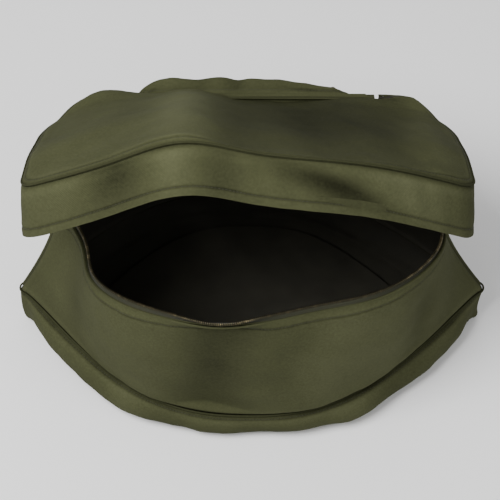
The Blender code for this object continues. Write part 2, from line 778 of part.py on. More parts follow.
def build():
    for thing in list(bpy.data.objects):
        bpy.data.objects.remove(thing)
    base_panel()
    base_layers()
    wall("front_panel", -1)
    wall("back_panel", 1)
    base_binding()
    end_bindings()
    rim_layers()
    hinge_tape()
    hinge = bpy.data.objects.new("lid_hinge_axis", None)
    hinge.location = (0, HINGE_Y, HINGE_Z)
    bpy.context.collection.objects.link(hinge)
    lid_top(hinge)
    lid_layers(hinge)
    zip_fittings()
    handle()


build()
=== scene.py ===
"""Canvas tool bag with a zipped lid: finished cloth, stitching, zip and fittings round the working parts."""

import functools
import math

import bpy
import numpy as np
from bpy.props import FloatProperty, FloatVectorProperty, PointerProperty
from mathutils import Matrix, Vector


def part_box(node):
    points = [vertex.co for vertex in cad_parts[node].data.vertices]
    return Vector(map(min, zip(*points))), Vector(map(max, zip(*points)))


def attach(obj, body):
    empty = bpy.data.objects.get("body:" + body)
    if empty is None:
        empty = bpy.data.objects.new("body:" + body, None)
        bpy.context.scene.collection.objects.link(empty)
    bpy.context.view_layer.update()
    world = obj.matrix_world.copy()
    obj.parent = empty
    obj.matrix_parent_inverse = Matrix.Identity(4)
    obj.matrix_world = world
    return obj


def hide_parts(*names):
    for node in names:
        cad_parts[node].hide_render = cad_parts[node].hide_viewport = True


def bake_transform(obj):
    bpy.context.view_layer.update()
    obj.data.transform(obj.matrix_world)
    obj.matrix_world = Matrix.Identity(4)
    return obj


bl_info = {
    "name": "Canvas Tool Bag",
    "version": (1, 0, 0),
    "blender": (4, 5, 0),
    "location": "View3D > Sidebar > Tool Bag",
    "description": "Sews a wide canvas tool bag, piece by piece, round its working parts",
    "category": "Object",
}

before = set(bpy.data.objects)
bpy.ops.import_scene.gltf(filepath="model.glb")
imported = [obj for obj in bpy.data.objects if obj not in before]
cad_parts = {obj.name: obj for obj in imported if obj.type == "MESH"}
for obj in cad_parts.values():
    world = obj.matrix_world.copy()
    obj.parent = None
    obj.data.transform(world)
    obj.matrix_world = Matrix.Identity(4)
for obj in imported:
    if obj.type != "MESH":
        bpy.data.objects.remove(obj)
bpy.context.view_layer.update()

# Base seam and pan
BASE_HALF_LENGTH = 0.2505
BASE_HALF_DEPTH = 0.147
BASE_TIP_RADIUS = 0.008
BASE_FULLNESS = 2.5
BASE_SLIMNESS = 1.3
SEAM_HEIGHT = 0.038
NUB_HEIGHT = 0.060
PAN_BULGE = 0.008
SIDE_BULGE = 0.009
END_FADE = 0.85
PAN_INSET = 0.016
LINING_INSET = 0.030
LINING_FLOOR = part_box("base_lining")[0].z

# Rim of the mouth
RIM_HALF_LENGTH = BASE_HALF_LENGTH - 0.0545
RIM_FRONT = 0.132
RIM_FRONT_FULLNESS = 2.3
RIM_BACK_FULLNESS = 4.6
RIM_HEIGHT = 0.205
BACK_EDGE = 0.121
BACK_HEIGHT = 0.245
SHOULDER_Y = 0.050
SHOULDER_CURVE = 1.3
END_HOLLOW = 0.35
BACK_ROLL = 0.019
FRONT_SWELL = 0.005
GAP = 0.0003

# Lid, measured as it lies shut, and how each place along it stands open
HINGE_Y = 0.117
HINGE_Z = 0.250
HINGE_HALF_LENGTH = RIM_HALF_LENGTH - 0.061
LID_HALF_LENGTH = RIM_HALF_LENGTH + 0.015
LID_FRONT = 0.143
LID_FRONT_CURVE = 2.5
LID_CORNER_Y = 0.098
LID_CORNER_RADIUS = 0.018
LID_BACK_CORNER = 0.077
HINGE_STRIP_MARGIN = 0.004
HINGE_EDGE_MARGIN = 0.012
LID_THIN_STATIONS = 7
LID_CROWN = 0.007
CROWN_REACH = 0.15
SKIRT_MIDDLE = 0.047
SKIRT_CORNER = 0.052
SKIRT_TAIL = 0.005
SKIRT_TAIL_LENGTH = 0.060
SKIRT_GROWTH = 0.110
SKIRT_FLARE = 0.002
OPENING = 39.2
END_DROOP = 11.2
DROOP_CURVE = 2.6
PEAK_RISE = 3.4
PEAK_X = -0.058
PEAK_WIDTH = 0.060
CORNER_DROP = 0.018     # the open lid's back corners hang from the ends of the zip
CORNER_PULL = 0.006

# Zip
ZIP_END_Y = 0.044
TAPE_TAIL = 0.012
ZIP_RISE = 0.004
ZIP_DEPTH = 0.010
HEM_DEPTH = 0.016
FACING = 0.0012
TAPE = 0.0008
TOOTH_WIDTH = 0.0028
TOOTH_HEIGHT = 0.0024

# Top-stitched rows, measured from the sewn edge they run along
BASE_ROW = 0.0045
FRONT_ROW = 0.009
BACK_ROW = 0.006
LID_ROW = 0.0065
HEM_ROW = 0.0085
STRAP_ROW = 0.003

# Grab strap
STRAP_SPAN = 0.180
STRAP_HEIGHT = 0.206
PATCH_SIZE = 0.042

# How the loaded cloth leans: the sides of the rim shift to the right, and the front bows out left of the
# middle and in right of it
LEFT_LEAN = 0.022
RIGHT_LEAN = 0.008
FRONT_BOW = 0.006
FRONT_PULL = 0.009
RIGHT_STRETCH = 0.008   # the right end is pulled out further than the left


class Fold:
    """A soft hollow (negative depth) or ridge at x and height share, with a spread each way and its tone, which
    paints shade or highlight over it.
    """

    def __init__(self, x, share, wide, tall, depth, tone, slant=0.0):
        self.x = x
        self.share = share
        self.wide = wide
        self.tall = tall
        self.depth = depth
        self.tone = tone
        self.slant = slant

    def weight(self, x, share):
        across = (x - self.x - self.slant * (share - self.share)) / self.wide
        along = (share - self.share) / self.tall
        return np.exp(-across ** 2 - along ** 2)


# Each fold's tone darkens or lightens the cloth's colour over it: painted shade in hollows, painted highlights
# on ridges.
FRONT_FOLDS = (
    Fold(-0.118, 0.50, 0.045, 0.80, 0.006, 0.20),
    Fold(0.030, 0.80, 0.030, 0.50, 0.003, -0.15),
    Fold(-0.032, 0.60, 0.036, 1.10, -0.012, -0.55, 0.02),
    Fold(0.115, 0.50, 0.070, 0.80, 0.006, 0.40),
    Fold(0.182, 0.55, 0.014, 0.30, -0.003, -0.35),
    Fold(-0.186, 0.60, 0.012, 0.35, -0.003, -0.35),
    Fold(-0.207, 0.60, 0.010, 0.35, 0.002, 0.30),
)
BACK_FOLDS = (
    Fold(-0.080, 0.80, 0.010, 0.20, 0.003, 0.20),
    Fold(-0.052, 0.85, 0.012, 0.25, -0.003, -0.40, 0.03),
    Fold(-0.010, 0.88, 0.010, 0.25, -0.003, -0.50, -0.02),
    Fold(0.060, 0.60, 0.045, 0.40, -0.005, -0.40),
    Fold(0.140, 0.50, 0.040, 0.40, 0.003, 0.20),
    Fold(-0.130, 0.40, 0.050, 0.35, -0.004, -0.30),
)
TOP_FOLDS = (
    Fold(-0.062, 0.50, 0.030, 0.80, 0.006, 0.60),
    Fold(-0.005, 0.50, 0.026, 0.70, -0.004, -0.40),
    Fold(0.064, 0.62, 0.058, 0.55, -0.011, -0.95, -0.03),
    Fold(0.138, 0.42, 0.034, 0.32, -0.005, -0.40, -0.05),
    Fold(0.175, 0.25, 0.022, 0.25, 0.003, 0.25),
    Fold(-0.150, 0.50, 0.040, 0.50, 0.002, 0.10),
)
SKIRT_FOLDS = (
    Fold(-0.118, 0.75, 0.026, 0.60, -0.0055, -0.85),
    Fold(-0.066, 0.60, 0.020, 0.80, 0.0035, 0.35),
    Fold(-0.020, 0.55, 0.022, 0.70, -0.0045, -0.50),
    Fold(0.082, 0.46, 0.030, 0.38, -0.0075, -1.20, -0.11),
    Fold(0.150, 0.60, 0.040, 0.60, 0.0030, 0.45),
    Fold(-0.175, 0.50, 0.030, 0.60, 0.0015, 0.15),
)
PAN_FOLDS = (
    Fold(-0.135, 0.4, 0.020, 0.6, 0.0030, 0.25),
    Fold(-0.085, 0.4, 0.025, 0.6, -0.0025, -0.25),
    Fold(0.110, 0.4, 0.022, 0.6, 0.0025, 0.20),
    Fold(0.160, 0.4, 0.022, 0.6, -0.0020, -0.25),
    Fold(0.020, 0.5, 0.030, 0.6, -0.0015, -0.20),
)


# Numbers on curves and sheets of points


def ease(share):
    """Ease from 0 to 1."""
    share = np.clip(share, 0, 1)
    return share * share * (3 - 2 * share)


def bell(distance, width):
    return np.exp(-(distance / width) ** 2)


def unit(vectors):
    """Directions of unit length."""
    return vectors / np.maximum(np.linalg.norm(vectors, axis=-1, keepdims=True), 1e-9)


def resample(points, shares):
    """Points at shares, from 0 to 1, of a polyline's length."""
    steps = np.linalg.norm(np.diff(points[:, :3], axis=0), axis=1)
    along = np.concatenate([[0], np.cumsum(steps)])
    wanted = np.asarray(shares) * along[-1]
    return np.column_stack([np.interp(wanted, along, points[:, axis]) for axis in range(points.shape[1])])


def through(places, values, at):
    """A smooth curve through a few values."""
    places, values = np.array(places, float), np.array(values, float)
    slopes = np.gradient(values, places)
    k = np.clip(np.searchsorted(places, at) - 1, 0, len(places) - 2)
    step = places[k + 1] - places[k]
    t = (at - places[k]) / step
    rise = t * t * (3 - 2 * t)
    bend = t * (1 - t)
    return (values[k] * (1 - rise) + values[k + 1] * rise
            + step * bend * (slopes[k] * (1 - t) - slopes[k + 1] * t))


def crowded(count, amount=0.8):
    """Shares from 0 to 1 that lie closer together at both ends."""
    even = np.linspace(0, 1, count + 1)
    return even - amount * np.sin(2 * math.pi * even) / (2 * math.pi)


def plan_normals(curve):
    """Horizontal normals on the right-hand side, which is outward for a curve that runs anticlockwise."""
    run = np.gradient(curve, axis=0)
    return unit(np.column_stack([run[:, 1], -run[:, 0], np.zeros(len(curve))]))


def sheet_normals(sheet):
    """Outward normals of a sheet of points, rows by stations."""
    return unit(np.cross(np.gradient(sheet, axis=1), np.gradient(sheet, axis=0)))


def climb(sheet):
    """Distance of each point from its station's first row."""
    steps = np.linalg.norm(np.diff(sheet, axis=0), axis=2)
    return np.vstack([np.zeros(sheet.shape[1]), np.cumsum(steps, axis=0)])


def travel(sheet):
    """Distance of each point along its own row."""
    steps = np.linalg.norm(np.diff(sheet, axis=1), axis=2)
    return np.hstack([np.zeros((sheet.shape[0], 1)), np.cumsum(steps, axis=1)])


def line_on(sheet, height, from_top=False):
    """The line on a sheet at a height above its lower edge or below its upper one, with its outward normals."""
    rows = climb(sheet)
    normals = sheet_normals(sheet)
    points, facing = [], []
    for k in range(sheet.shape[1]):
        wanted = rows[-1, k] - height if from_top else height
        points.append([np.interp(wanted, rows[:, k], sheet[:, k, axis]) for axis in range(3)])
        facing.append([np.interp(wanted, rows[:, k], normals[:, k, axis]) for axis in range(3)])
    return np.array(points), unit(np.array(facing))


def ripples(a, b, size, seed):
    """Gentle unevenness between about -1 and 1, from waves of one size that cross each other."""
    random = np.random.default_rng(seed)
    total = 0
    for _ in range(7):
        turn = random.uniform(0, 2 * math.pi)
        length = size * random.uniform(0.7, 1.5)
        phase = random.uniform(0, 2 * math.pi)
        total = total + np.sin((a * math.cos(turn) + b * math.sin(turn)) * 2 * math.pi / length + phase)
    return total / 3.5


# Objects from sheets of points


def deselect():
    bpy.ops.object.select_all(action="DESELECT")


def pick(piece):
    """Make a piece the only selected one."""
    deselect()
    bpy.context.view_layer.objects.active = piece
    piece.select_set(True)


def apply_modifier(piece, kind, **settings):
    """Add a modifier and apply it."""
    pick(piece)
    modifier = piece.modifiers.new(kind.title(), kind)
    for name, value in settings.items():
        setattr(modifier, name, value)
    bpy.ops.object.modifier_apply(modifier=modifier.name)


def merge_doubles(piece, distance=1e-5):
    """Close a seam where a sheet meets itself."""
    pick(piece)
    bpy.ops.object.mode_set(mode="EDIT")
    bpy.ops.mesh.select_all(action="SELECT")
    bpy.ops.mesh.remove_doubles(threshold=distance)
    bpy.ops.object.mode_set(mode="OBJECT")


def sheet_piece(name, sheet, weave, tone=None, closed=False):
    """A grid primitive whose points are laid on a sheet; weave holds each point's place in the flat cloth."""
    rows, stations = sheet.shape[:2]
    deselect()
    bpy.ops.mesh.primitive_grid_add(x_subdivisions=stations - 1, y_subdivisions=rows - 1, size=2)
    piece = bpy.context.object
    piece.name = piece.data.name = name
    mesh = piece.data
    flat = np.empty(len(mesh.vertices) * 3)
    mesh.vertices.foreach_get("co", flat)
    flat = flat.reshape(-1, 3)
    across = np.rint((flat[:, 0] + 1) / 2 * (stations - 1)).astype(int)
    up = np.rint((flat[:, 1] + 1) / 2 * (rows - 1)).astype(int)
    mesh.vertices.foreach_set("co", sheet[up, across].ravel())
    corners = np.empty(len(mesh.loops), dtype=int)
    mesh.loops.foreach_get("vertex_index", corners)
    mesh.uv_layers[0].name = "cloth"
    mesh.uv_layers[0].uv.foreach_set("vector", weave[up, across][corners].astype(np.float32).ravel())
    relief = mesh.attributes.new("relief", "FLOAT", "POINT")
    shade = np.zeros(len(flat)) if tone is None else tone[up, across]
    relief.data.foreach_set("value", shade.astype(np.float32))
    mesh.update()
    if closed:
        merge_doubles(piece)
    return piece


def sew(piece, thickness, outside, inside=None, edge=0.3, even=True):
    """Give a sheet its thickness and its cloths, with rounded cut edges."""
    piece.data.materials.append(outside)
    piece.data.materials.append(inside or outside)
    apply_modifier(piece, "SOLIDIFY", thickness=thickness, offset=-1, use_even_offset=even,
                   material_offset=1, material_offset_rim=0)
    if edge:
        apply_modifier(piece, "BEVEL", width=thickness * edge, segments=2, limit_method="ANGLE",
                       angle_limit=math.radians(60))
    smooth_piece(piece)


def smooth_piece(piece, angle=50):
    pick(piece)
    bpy.ops.object.shade_smooth_by_angle(angle=math.radians(angle))


def flat_weave(sheet):
    """Each point's place in the flat cloth: its travel along the sheet and its climb up it, in metres."""
    middle = travel(sheet)[sheet.shape[0] // 2]
    return np.stack([np.broadcast_to(middle, sheet.shape[:2]), climb(sheet)], axis=2)


def cord_sheet(curve, radius, sides=10):
    """A round cord along a curve, as a sheet that closes on itself."""
    run = unit(np.gradient(curve, axis=0))
    side = unit(np.column_stack([run[:, 1], -run[:, 0], np.zeros(len(curve))]))
    upward = np.cross(side, run)
    turns = np.linspace(0, 2 * math.pi, sides + 1)[:, None, None]
    return curve + radius * (np.cos(turns) * side + np.sin(turns) * upward)


def cord_piece(name, curve, radius, look):
    sheet = cord_sheet(curve, radius)
    piece = sheet_piece(name, sheet, flat_weave(sheet), closed=True)
    piece.data.materials.append(look)
    pick(piece)
    bpy.ops.object.mode_set(mode="EDIT")
    bpy.ops.mesh.select_all(action="DESELECT")
    bpy.ops.mesh.select_non_manifold(extend=False)
    bpy.ops.mesh.edge_face_add()
    bpy.ops.mesh.select_all(action="SELECT")
    bpy.ops.mesh.normals_make_consistent(inside=False)
    bpy.ops.object.mode_set(mode="OBJECT")
    smooth_piece(piece)
    return piece


def model_of(piece):
    """A small piece's points and faces, taken off it before it is removed."""
    mesh = piece.data
    points = np.array([vertex.co[:] for vertex in mesh.vertices])
    faces = [tuple(face.vertices) for face in mesh.polygons]
    bpy.data.objects.remove(piece)
    return points, faces


def stitch_model(length, width):
    """One stitch: a short rounded run of thread along X, standing up in Z."""
    deselect()
    bpy.ops.mesh.primitive_uv_sphere_add(segments=6, ring_count=4, radius=0.5, rotation=(0, math.pi / 2, 0))
    piece = bpy.context.object
    bpy.ops.object.transform_apply(location=False, rotation=True, scale=False)
    points, faces = model_of(piece)
    blunt = np.sign(points[:, 0]) * np.abs(points[:, 0] * 2) ** 0.6 / 2
    return np.column_stack([blunt * length, points[:, 1] * width, points[:, 2] * width * 0.8]), faces


def tooth_model(length, width, height):
    """One turn of the zip's teeth: a small block with its edges worn round."""
    deselect()
    bpy.ops.mesh.primitive_cube_add(size=1)
    piece = bpy.context.object
    piece.scale = (length, width, height)
    bpy.ops.object.transform_apply(location=False, rotation=False, scale=True)
    bpy.ops.object.mode_set(mode="EDIT")
    bpy.ops.mesh.select_all(action="SELECT")
    bpy.ops.mesh.bevel(offset=min(length, height) * 0.28, segments=1)
    bpy.ops.object.mode_set(mode="OBJECT")
    return model_of(piece)


def repeated(name, model, centres, along, facing, look):
    """Copies of a small model, one at each centre, turned along the row and away from the cloth."""
    points, faces = model
    side = unit(np.cross(facing, along))
    away = unit(np.cross(along, side))
    spots = (centres[:, None, :] + points[None, :, :1] * along[:, None, :]
             + points[None, :, 1:2] * side[:, None, :] + points[None, :, 2:] * away[:, None, :])
    count = len(points)
    every = [tuple(corner + count * k for corner in face) for k in range(len(centres)) for face in faces]
    mesh = bpy.data.meshes.new(name)
    mesh.from_pydata(spots.reshape(-1, 3), [], every)
    mesh.materials.append(look)
    piece = bpy.data.objects.new(name, mesh)
    bpy.context.collection.objects.link(piece)
    smooth_piece(piece, 60)
    return piece


def stitch_row(line, normals, sizes):
    """Centres, directions and facings of a row of stitches along a line."""
    length = np.linalg.norm(np.diff(line, axis=0), axis=1).sum()
    count = max(2, int(length / sizes.stitch_step))
    shares = (np.arange(count) + 0.5) / count
    both = resample(np.hstack([line, normals]), shares)
    before, after = (resample(line, np.clip(shares + step / count, 0, 1)) for step in (-0.2, 0.2))
    return both[:, :3], unit(after - before), unit(both[:, 3:])


def stitches(name, rows, sizes, look):
    """Rows of stitches as one piece."""
    parts = [stitch_row(line, normals, sizes) for line, normals in rows]
    centres, along, facing = (np.vstack(group) for group in zip(*parts))
    model = stitch_model(sizes.stitch_length, sizes.thread)
    return repeated(name, model, centres - facing * sizes.thread * 0.12, along, facing, look)


# Shader maths


class Signal:
    """A socket in a material; arithmetic on signals adds Math nodes."""

    def __init__(self, look, socket):
        self.look = look
        self.socket = socket

    def __add__(self, other):
        return self.look.maths("ADD", self, other)

    __radd__ = __add__

    def __mul__(self, other):
        return self.look.maths("MULTIPLY", self, other)

    __rmul__ = __mul__

    def __sub__(self, other):
        return self.look.maths("SUBTRACT", self, other)

    def __rsub__(self, other):
        return self.look.maths("SUBTRACT", other, self)


class Look:
    """A material being made, round its Principled shader."""

    def __init__(self, name, **constants):
        self.material = bpy.data.materials.new(name)
        self.material.use_nodes = True
        self.tree = self.material.node_tree
        self.shader = self.tree.nodes["Principled BSDF"]
        for entry, value in constants.items():
            self.shader.inputs[entry.replace("_", " ").title().replace("Ior", "IOR")].default_value = value

    def plug(self, entry, value):
        if isinstance(value, Signal):
            self.tree.links.new(value.socket, entry)
        elif isinstance(value, tuple):
            entry.default_value = value[:len(entry.default_value)]
        else:
            entry.default_value = value

    def node(self, kind, settings=None, inputs=None, output=0):
        """Add a node: its settings first, then its inputs by name or place."""
        made = self.tree.nodes.new(kind)
        for name, value in (settings or {}).items():
            setattr(made, name, value)
        for entry, value in (inputs or {}).items():
            self.plug(made.inputs[entry], value)
        return Signal(self, made.outputs[output])

    def maths(self, operation, *values):
        return self.node("ShaderNodeMath", {"operation": operation}, dict(enumerate(values)))

    def sine(self, value):
        return self.maths("SINE", value)

    def clamp(self, value, low, high):
        return self.maths("MINIMUM", self.maths("MAXIMUM", value, low), high)

    def mixed(self, share, first, second):
        """A colour between two others."""
        return self.node("ShaderNodeMix", {"data_type": "RGBA"}, {0: share, 6: first, 7: second}, output=2)

    def scaled(self, colour, amount):
        return self.node("ShaderNodeVectorMath", {"operation": "SCALE"}, {0: colour, "Scale": amount})

    def place(self):
        """Object coordinates."""
        return self.node("ShaderNodeTexCoord", output="Object")

    def cloth(self):
        """The piece's own place in the flat cloth, in metres, along and across."""
        flat = self.node("ShaderNodeUVMap", {"uv_map": "cloth"})
        split = self.node("ShaderNodeSeparateXYZ", inputs={0: flat})
        return split, Signal(self, split.socket.node.outputs[1])

    def noise(self, scale, detail=2.0, at=None):
        """Noise centred on 0, between about -1 and 1."""
        settings = {"Vector": at or self.place(), "Scale": scale, "Detail": detail}
        raw = self.node("ShaderNodeTexNoise", inputs=settings)
        return raw * 4 - 2

    def relief(self):
        return self.node("ShaderNodeAttribute", {"attribute_name": "relief"}, output="Fac")

    def bump(self, height, strength, distance):
        settings = {"Strength": strength, "Distance": distance, "Height": height}
        normal = self.node("ShaderNodeBump", inputs=settings)
        self.plug(self.shader.inputs["Normal"], normal)

    def colour(self, value):
        self.plug(self.shader.inputs["Base Color"], value)

    def roughness(self, value):
        self.plug(self.shader.inputs["Roughness"], value)


def woven_height(look, yarn, twill):
    """Height of a twill: yarns that cross, under slanting ribs."""
    along, across = look.cloth()
    turn = 2 * math.pi
    threads = look.sine(along * (turn / yarn)) * look.sine(across * (turn / yarn))
    ribs = look.sine((along + across * 0.9) * (turn / twill))
    return ribs * 0.55 + threads * 0.35


def canvas_look(name, colour, tone=0.60, yarn=0.0011, twill=0.0019, fade=1.0):
    """Dyed cotton twill with painted shade in its hollows and painted highlights on its ridges, paler in random
    patches.
    """
    look = Look(name, roughness=0.95, specular_ior_level=0.04)
    weave = woven_height(look, yarn, twill)
    patches = look.noise(18, 3)
    grain = look.noise(420, 2)
    slubs = look.noise(1300, 1)
    # The relief attribute, scaled by tone, is painted shade and highlight: it darkens hollows, seams and
    # stitched lines and lightens ridges.
    painted_shade_and_highlight = look.relief() * tone
    strength = 1 + painted_shade_and_highlight + patches * (0.07 * fade) + grain * 0.11 + slubs * 0.08 + weave * 0.09
    strength = look.clamp(strength, 0.25, 1.7)
    pale = look.clamp(painted_shade_and_highlight * 1.2 + grain * 0.08 + patches * 0.06, 0.0, 1.0)
    # The paler colour is a painted highlight on ridges and, through random patches and grain, a dusty paleness.
    highlight_and_dust = tuple(min(1.0, part * 1.10 + 0.008) for part in colour[:3]) + (1,)
    look.colour(look.scaled(look.mixed(pale, (*colour[:3], 1), highlight_and_dust), strength))
    look.roughness(look.clamp(0.9 + patches * 0.03 - painted_shade_and_highlight * 0.05, 0.7, 1.0))
    look.bump(weave + grain * 0.5 + slubs * 0.25, 0.45, 0.00022)
    return look.material


def lining_look(name, colour):
    """Dark plain-woven lining."""
    look = Look(name, roughness=0.85, specular_ior_level=0.3)
    along, across = look.cloth()
    turn = 2 * math.pi / 0.0008
    weave = look.sine(along * turn) * look.sine(across * turn)
    dust = look.noise(26, 4)
    look.colour(look.scaled((*colour[:3], 1), look.clamp(1 + dust * 0.22 + weave * 0.1, 0.4, 1.8)))
    look.roughness(look.clamp(0.84 + dust * 0.05, 0.6, 1.0))
    look.bump(weave + dust * 0.6, 0.35, 0.00015)
    return look.material


def webbing_look(name, colour, rib):
    """Ribbed tape: ribs that run along it, crossed by fine picks."""
    look = Look(name, roughness=0.8, sheen_weight=0.08, specular_ior_level=0.3)
    along, across = look.cloth()
    turn = 2 * math.pi
    ribs = look.sine(across * (turn / rib))
    picks = look.sine(along * (turn / (rib * 0.7)))
    fibre = look.noise(700, 2)
    strength = look.clamp(1 + ribs * 0.10 + fibre * 0.10 + picks * 0.05, 0.5, 1.6)
    look.colour(look.scaled((*colour[:3], 1), strength))
    look.roughness(look.clamp(0.78 + fibre * 0.05, 0.6, 1.0))
    look.bump(ribs + picks * 0.4 + fibre * 0.4, 0.5, 0.0003)
    return look.material


def thread_look(name, colour):
    """Twisted polyester thread."""
    look = Look(name, roughness=0.6, specular_ior_level=0.4)
    fibre = look.noise(2500, 2)
    look.colour(look.scaled((*colour[:3], 1), look.clamp(1 + fibre * 0.2, 0.5, 1.6)))
    look.roughness(look.clamp(0.6 + fibre * 0.1, 0.4, 0.9))
    look.bump(fibre, 0.4, 0.0001)
    return look.material


def metal_look(name, colour, worn):
    """Blackened brass, rubbed brighter in places."""
    look = Look(name, metallic=1.0, roughness=0.4)
    rub = look.clamp(look.noise(160, 4) * 0.9, 0.0, 1.0)
    scratches = look.noise(900, 3)
    look.colour(look.mixed(rub, (*colour[:3], 1), (*worn[:3], 1)))
    look.roughness(look.clamp(0.42 - rub * 0.12 + scratches * 0.05, 0.2, 0.7))
    look.bump(scratches, 0.15, 0.0001)
    return look.material


def board_look(name, colour):
    """Pressed fibre board."""
    look = Look(name, roughness=0.75)
    fibres = look.noise(300, 4)
    look.colour(look.scaled((*colour[:3], 1), look.clamp(1 + fibres * 0.25, 0.5, 1.6)))
    look.roughness(look.clamp(0.75 + fibres * 0.08, 0.5, 1.0))
    look.bump(fibres, 0.3, 0.0002)
    return look.material


def floor_look(name, colour):
    """Matt paper sweep."""
    look = Look(name, roughness=0.7, specular_ior_level=0.1)
    mottle = look.noise(6, 3)
    look.colour(look.scaled((*colour[:3], 1), look.clamp(1 + mottle * 0.006, 0.9, 1.1)))
    look.roughness(look.clamp(0.7 + mottle * 0.02, 0.5, 0.9))
    return look.material


@functools.cache
def finishes():
    """Every finish of the bag, by name."""
    colours = bpy.context.scene.tool_bag_colours
    canvas = tuple(colours.canvas)
    # The seam cords get the canvas darkened to 0.62: painted shade for the groove along each seam.
    shaded_seam_colour = tuple(part * 0.62 for part in canvas)
    return {
        "canvas": canvas_look("olive_canvas", canvas),
        "seam": canvas_look("seam_canvas_painted_shade", shaded_seam_colour, tone=0.2),
        "facing": canvas_look("facing_canvas", tuple(part * 0.8 for part in canvas), tone=0.2),
        "lining": lining_look("black_lining", tuple(colours.lining)),
        "board": board_look("fibre_board", tuple(colours.board)),
        "webbing": webbing_look("olive_webbing", tuple(colours.webbing), 0.0022),
        "tape": webbing_look("zip_tape", tuple(colours.tape), 0.0012),
        "teeth": metal_look("zip_teeth", tuple(colours.teeth), tuple(colours.worn_metal)),
        "thread": thread_look("sewing_thread", tuple(colours.thread)),
        "metal": metal_look("blackened_brass", tuple(colours.metal), tuple(colours.worn_metal)),
    }


# Curves of the body, anticlockwise from above; side is -1 for the front and 1 for the back


def base_seam(side):
    """The seam between a wall and the pan."""
    length = BASE_HALF_LENGTH - BASE_TIP_RADIUS
    depth = BASE_HALF_DEPTH - BASE_TIP_RADIUS
    x = np.linspace(length, -length, 321)
    y = side * depth * (1 - np.abs(x / length) ** BASE_FULLNESS) ** BASE_SLIMNESS
    spine = np.column_stack([x, y, np.zeros(len(x))])
    normals = plan_normals(spine) * side
    turns = np.linspace(0, math.pi / 2, 12)[:-1, None]
    fan = np.hstack([np.cos(turns), side * np.sin(turns), np.zeros_like(turns)])
    right = spine[0] + BASE_TIP_RADIUS * fan
    left = (spine[-1] + BASE_TIP_RADIUS * fan * (-1, 1, 1))[::-1]
    points = np.vstack([right, spine[1:-1] + BASE_TIP_RADIUS * normals[1:-1], left])
    points[:, 2] = SEAM_HEIGHT + (NUB_HEIGHT - SEAM_HEIGHT) * (points[:, 0] / BASE_HALF_LENGTH) ** 2
    points[:, 0] += RIGHT_STRETCH * ease((points[:, 0] - 0.120) / 0.125)
    return points[::-1] if side < 0 else points


def rim_line(side):
    """The mouth's edge before it leans."""
    depth, fullness = (RIM_FRONT, RIM_FRONT_FULLNESS) if side < 0 else (BACK_EDGE, RIM_BACK_FULLNESS)
    turn = np.linspace(0, math.pi, 1441)
    x = RIM_HALF_LENGTH * np.sign(np.cos(turn)) * np.abs(np.cos(turn)) ** (2 / fullness)
    y = side * depth * np.abs(np.sin(turn)) ** (2 / fullness)
    climbing = np.maximum(0, (y - SHOULDER_Y) / (BACK_EDGE - SHOULDER_Y)) ** SHOULDER_CURVE
    points = np.column_stack([x, y, RIM_HEIGHT + (BACK_HEIGHT - RIM_HEIGHT) * climbing])
    return points[::-1] if side < 0 else points


def rim_lean(rim):
    """How far the loaded front rim has moved from its drawn line."""
    x, y = rim[:, 0], rim[:, 1]
    inward = np.where(x < 0, LEFT_LEAN, RIGHT_LEAN) * bell(y + 0.040, 0.040) * ease(-y / 0.020)
    sway = FRONT_PULL * bell(x - 0.078, 0.060) - FRONT_BOW * bell(x + 0.030, 0.050)
    return np.column_stack([inward, sway * ease((-y - 0.05) / 0.05), np.zeros(len(rim))])


def fold_depth(folds, x, share):
    return sum(fold.depth * fold.weight(x, share) for fold in folds)


def fold_tone(folds, x, share):
    return sum(fold.tone * fold.weight(x, share) for fold in folds)


def rows_of(sheet, shares):
    return np.broadcast_to(np.asarray(shares)[:, None], sheet.shape[:2])


def worked_cloth(sheet, weave, shares, folds, seed, low_seam, high_seam, ends, rows=(), still=None):
    """Fold and wrinkle a sheet, roll its sewn edges under and press its stitched lines in.

    rows are the heights of stitched lines, negative below the upper edge. It gives the new sheet and its tone:
    painted shade in hollows, sewn edges and stitched lines, painted highlights on ridges, and some random tone.
    """
    sizes = bpy.context.scene.tool_bag_sizes
    up, along = climb(sheet), travel(sheet)
    below = up[-1] - up
    share = rows_of(sheet, shares)
    x = sheet[:, :, 0]
    loose = np.ones(sheet.shape[:2]) if still is None else still
    flat = weave[:, :, 0], weave[:, :, 1]
    wrinkles = (ripples(*flat, 0.085, seed) * 0.0013 + ripples(*flat, 0.030, seed + 1) * 0.0004
                + ripples(*flat, 0.011, seed + 2) * 0.0001) * sizes.wrinkles
    height = (fold_depth(folds, x, share) * sizes.folds + wrinkles) * loose
    tone = fold_tone(folds, x, share) * loose + ripples(*flat, 0.05, seed + 5) * 0.05
    roll, width = sizes.seam_roll, sizes.seam_roll * 1.2
    for sewn, away in ((low_seam, up), (high_seam, below)):
        if sewn:
            height = height - roll * bell(away, width)
            # painted shade in the roll of each sewn edge and a painted highlight on the puff beside it
            tone = tone - 0.9 * bell(away, width) + 0.18 * bell(away - width * 3, width * 1.6)
    if ends:
        for away in (along, along[:, -1:] - along):
            height = height - roll * bell(away, width)
            # painted shade along the rolled ends of the sheet
            tone = tone - 0.8 * bell(away, width)
    for row in rows:
        away = (below + row) if row < 0 else (up - row)
        pucker = ripples(along, up * 0.3, 0.0085, seed + 7) * 0.00018
        height = height - 0.00045 * bell(away, 0.0014) + pucker * bell(away, 0.005)
        # painted shade along each stitched line, with a little random tone beside it
        tone = tone - 0.75 * bell(away, 0.0013) + ripples(along, up, 0.009, seed + 8) * 0.05 * bell(away, 0.005)
    return sheet + sheet_normals(sheet) * height[:, :, None], tone


# Body


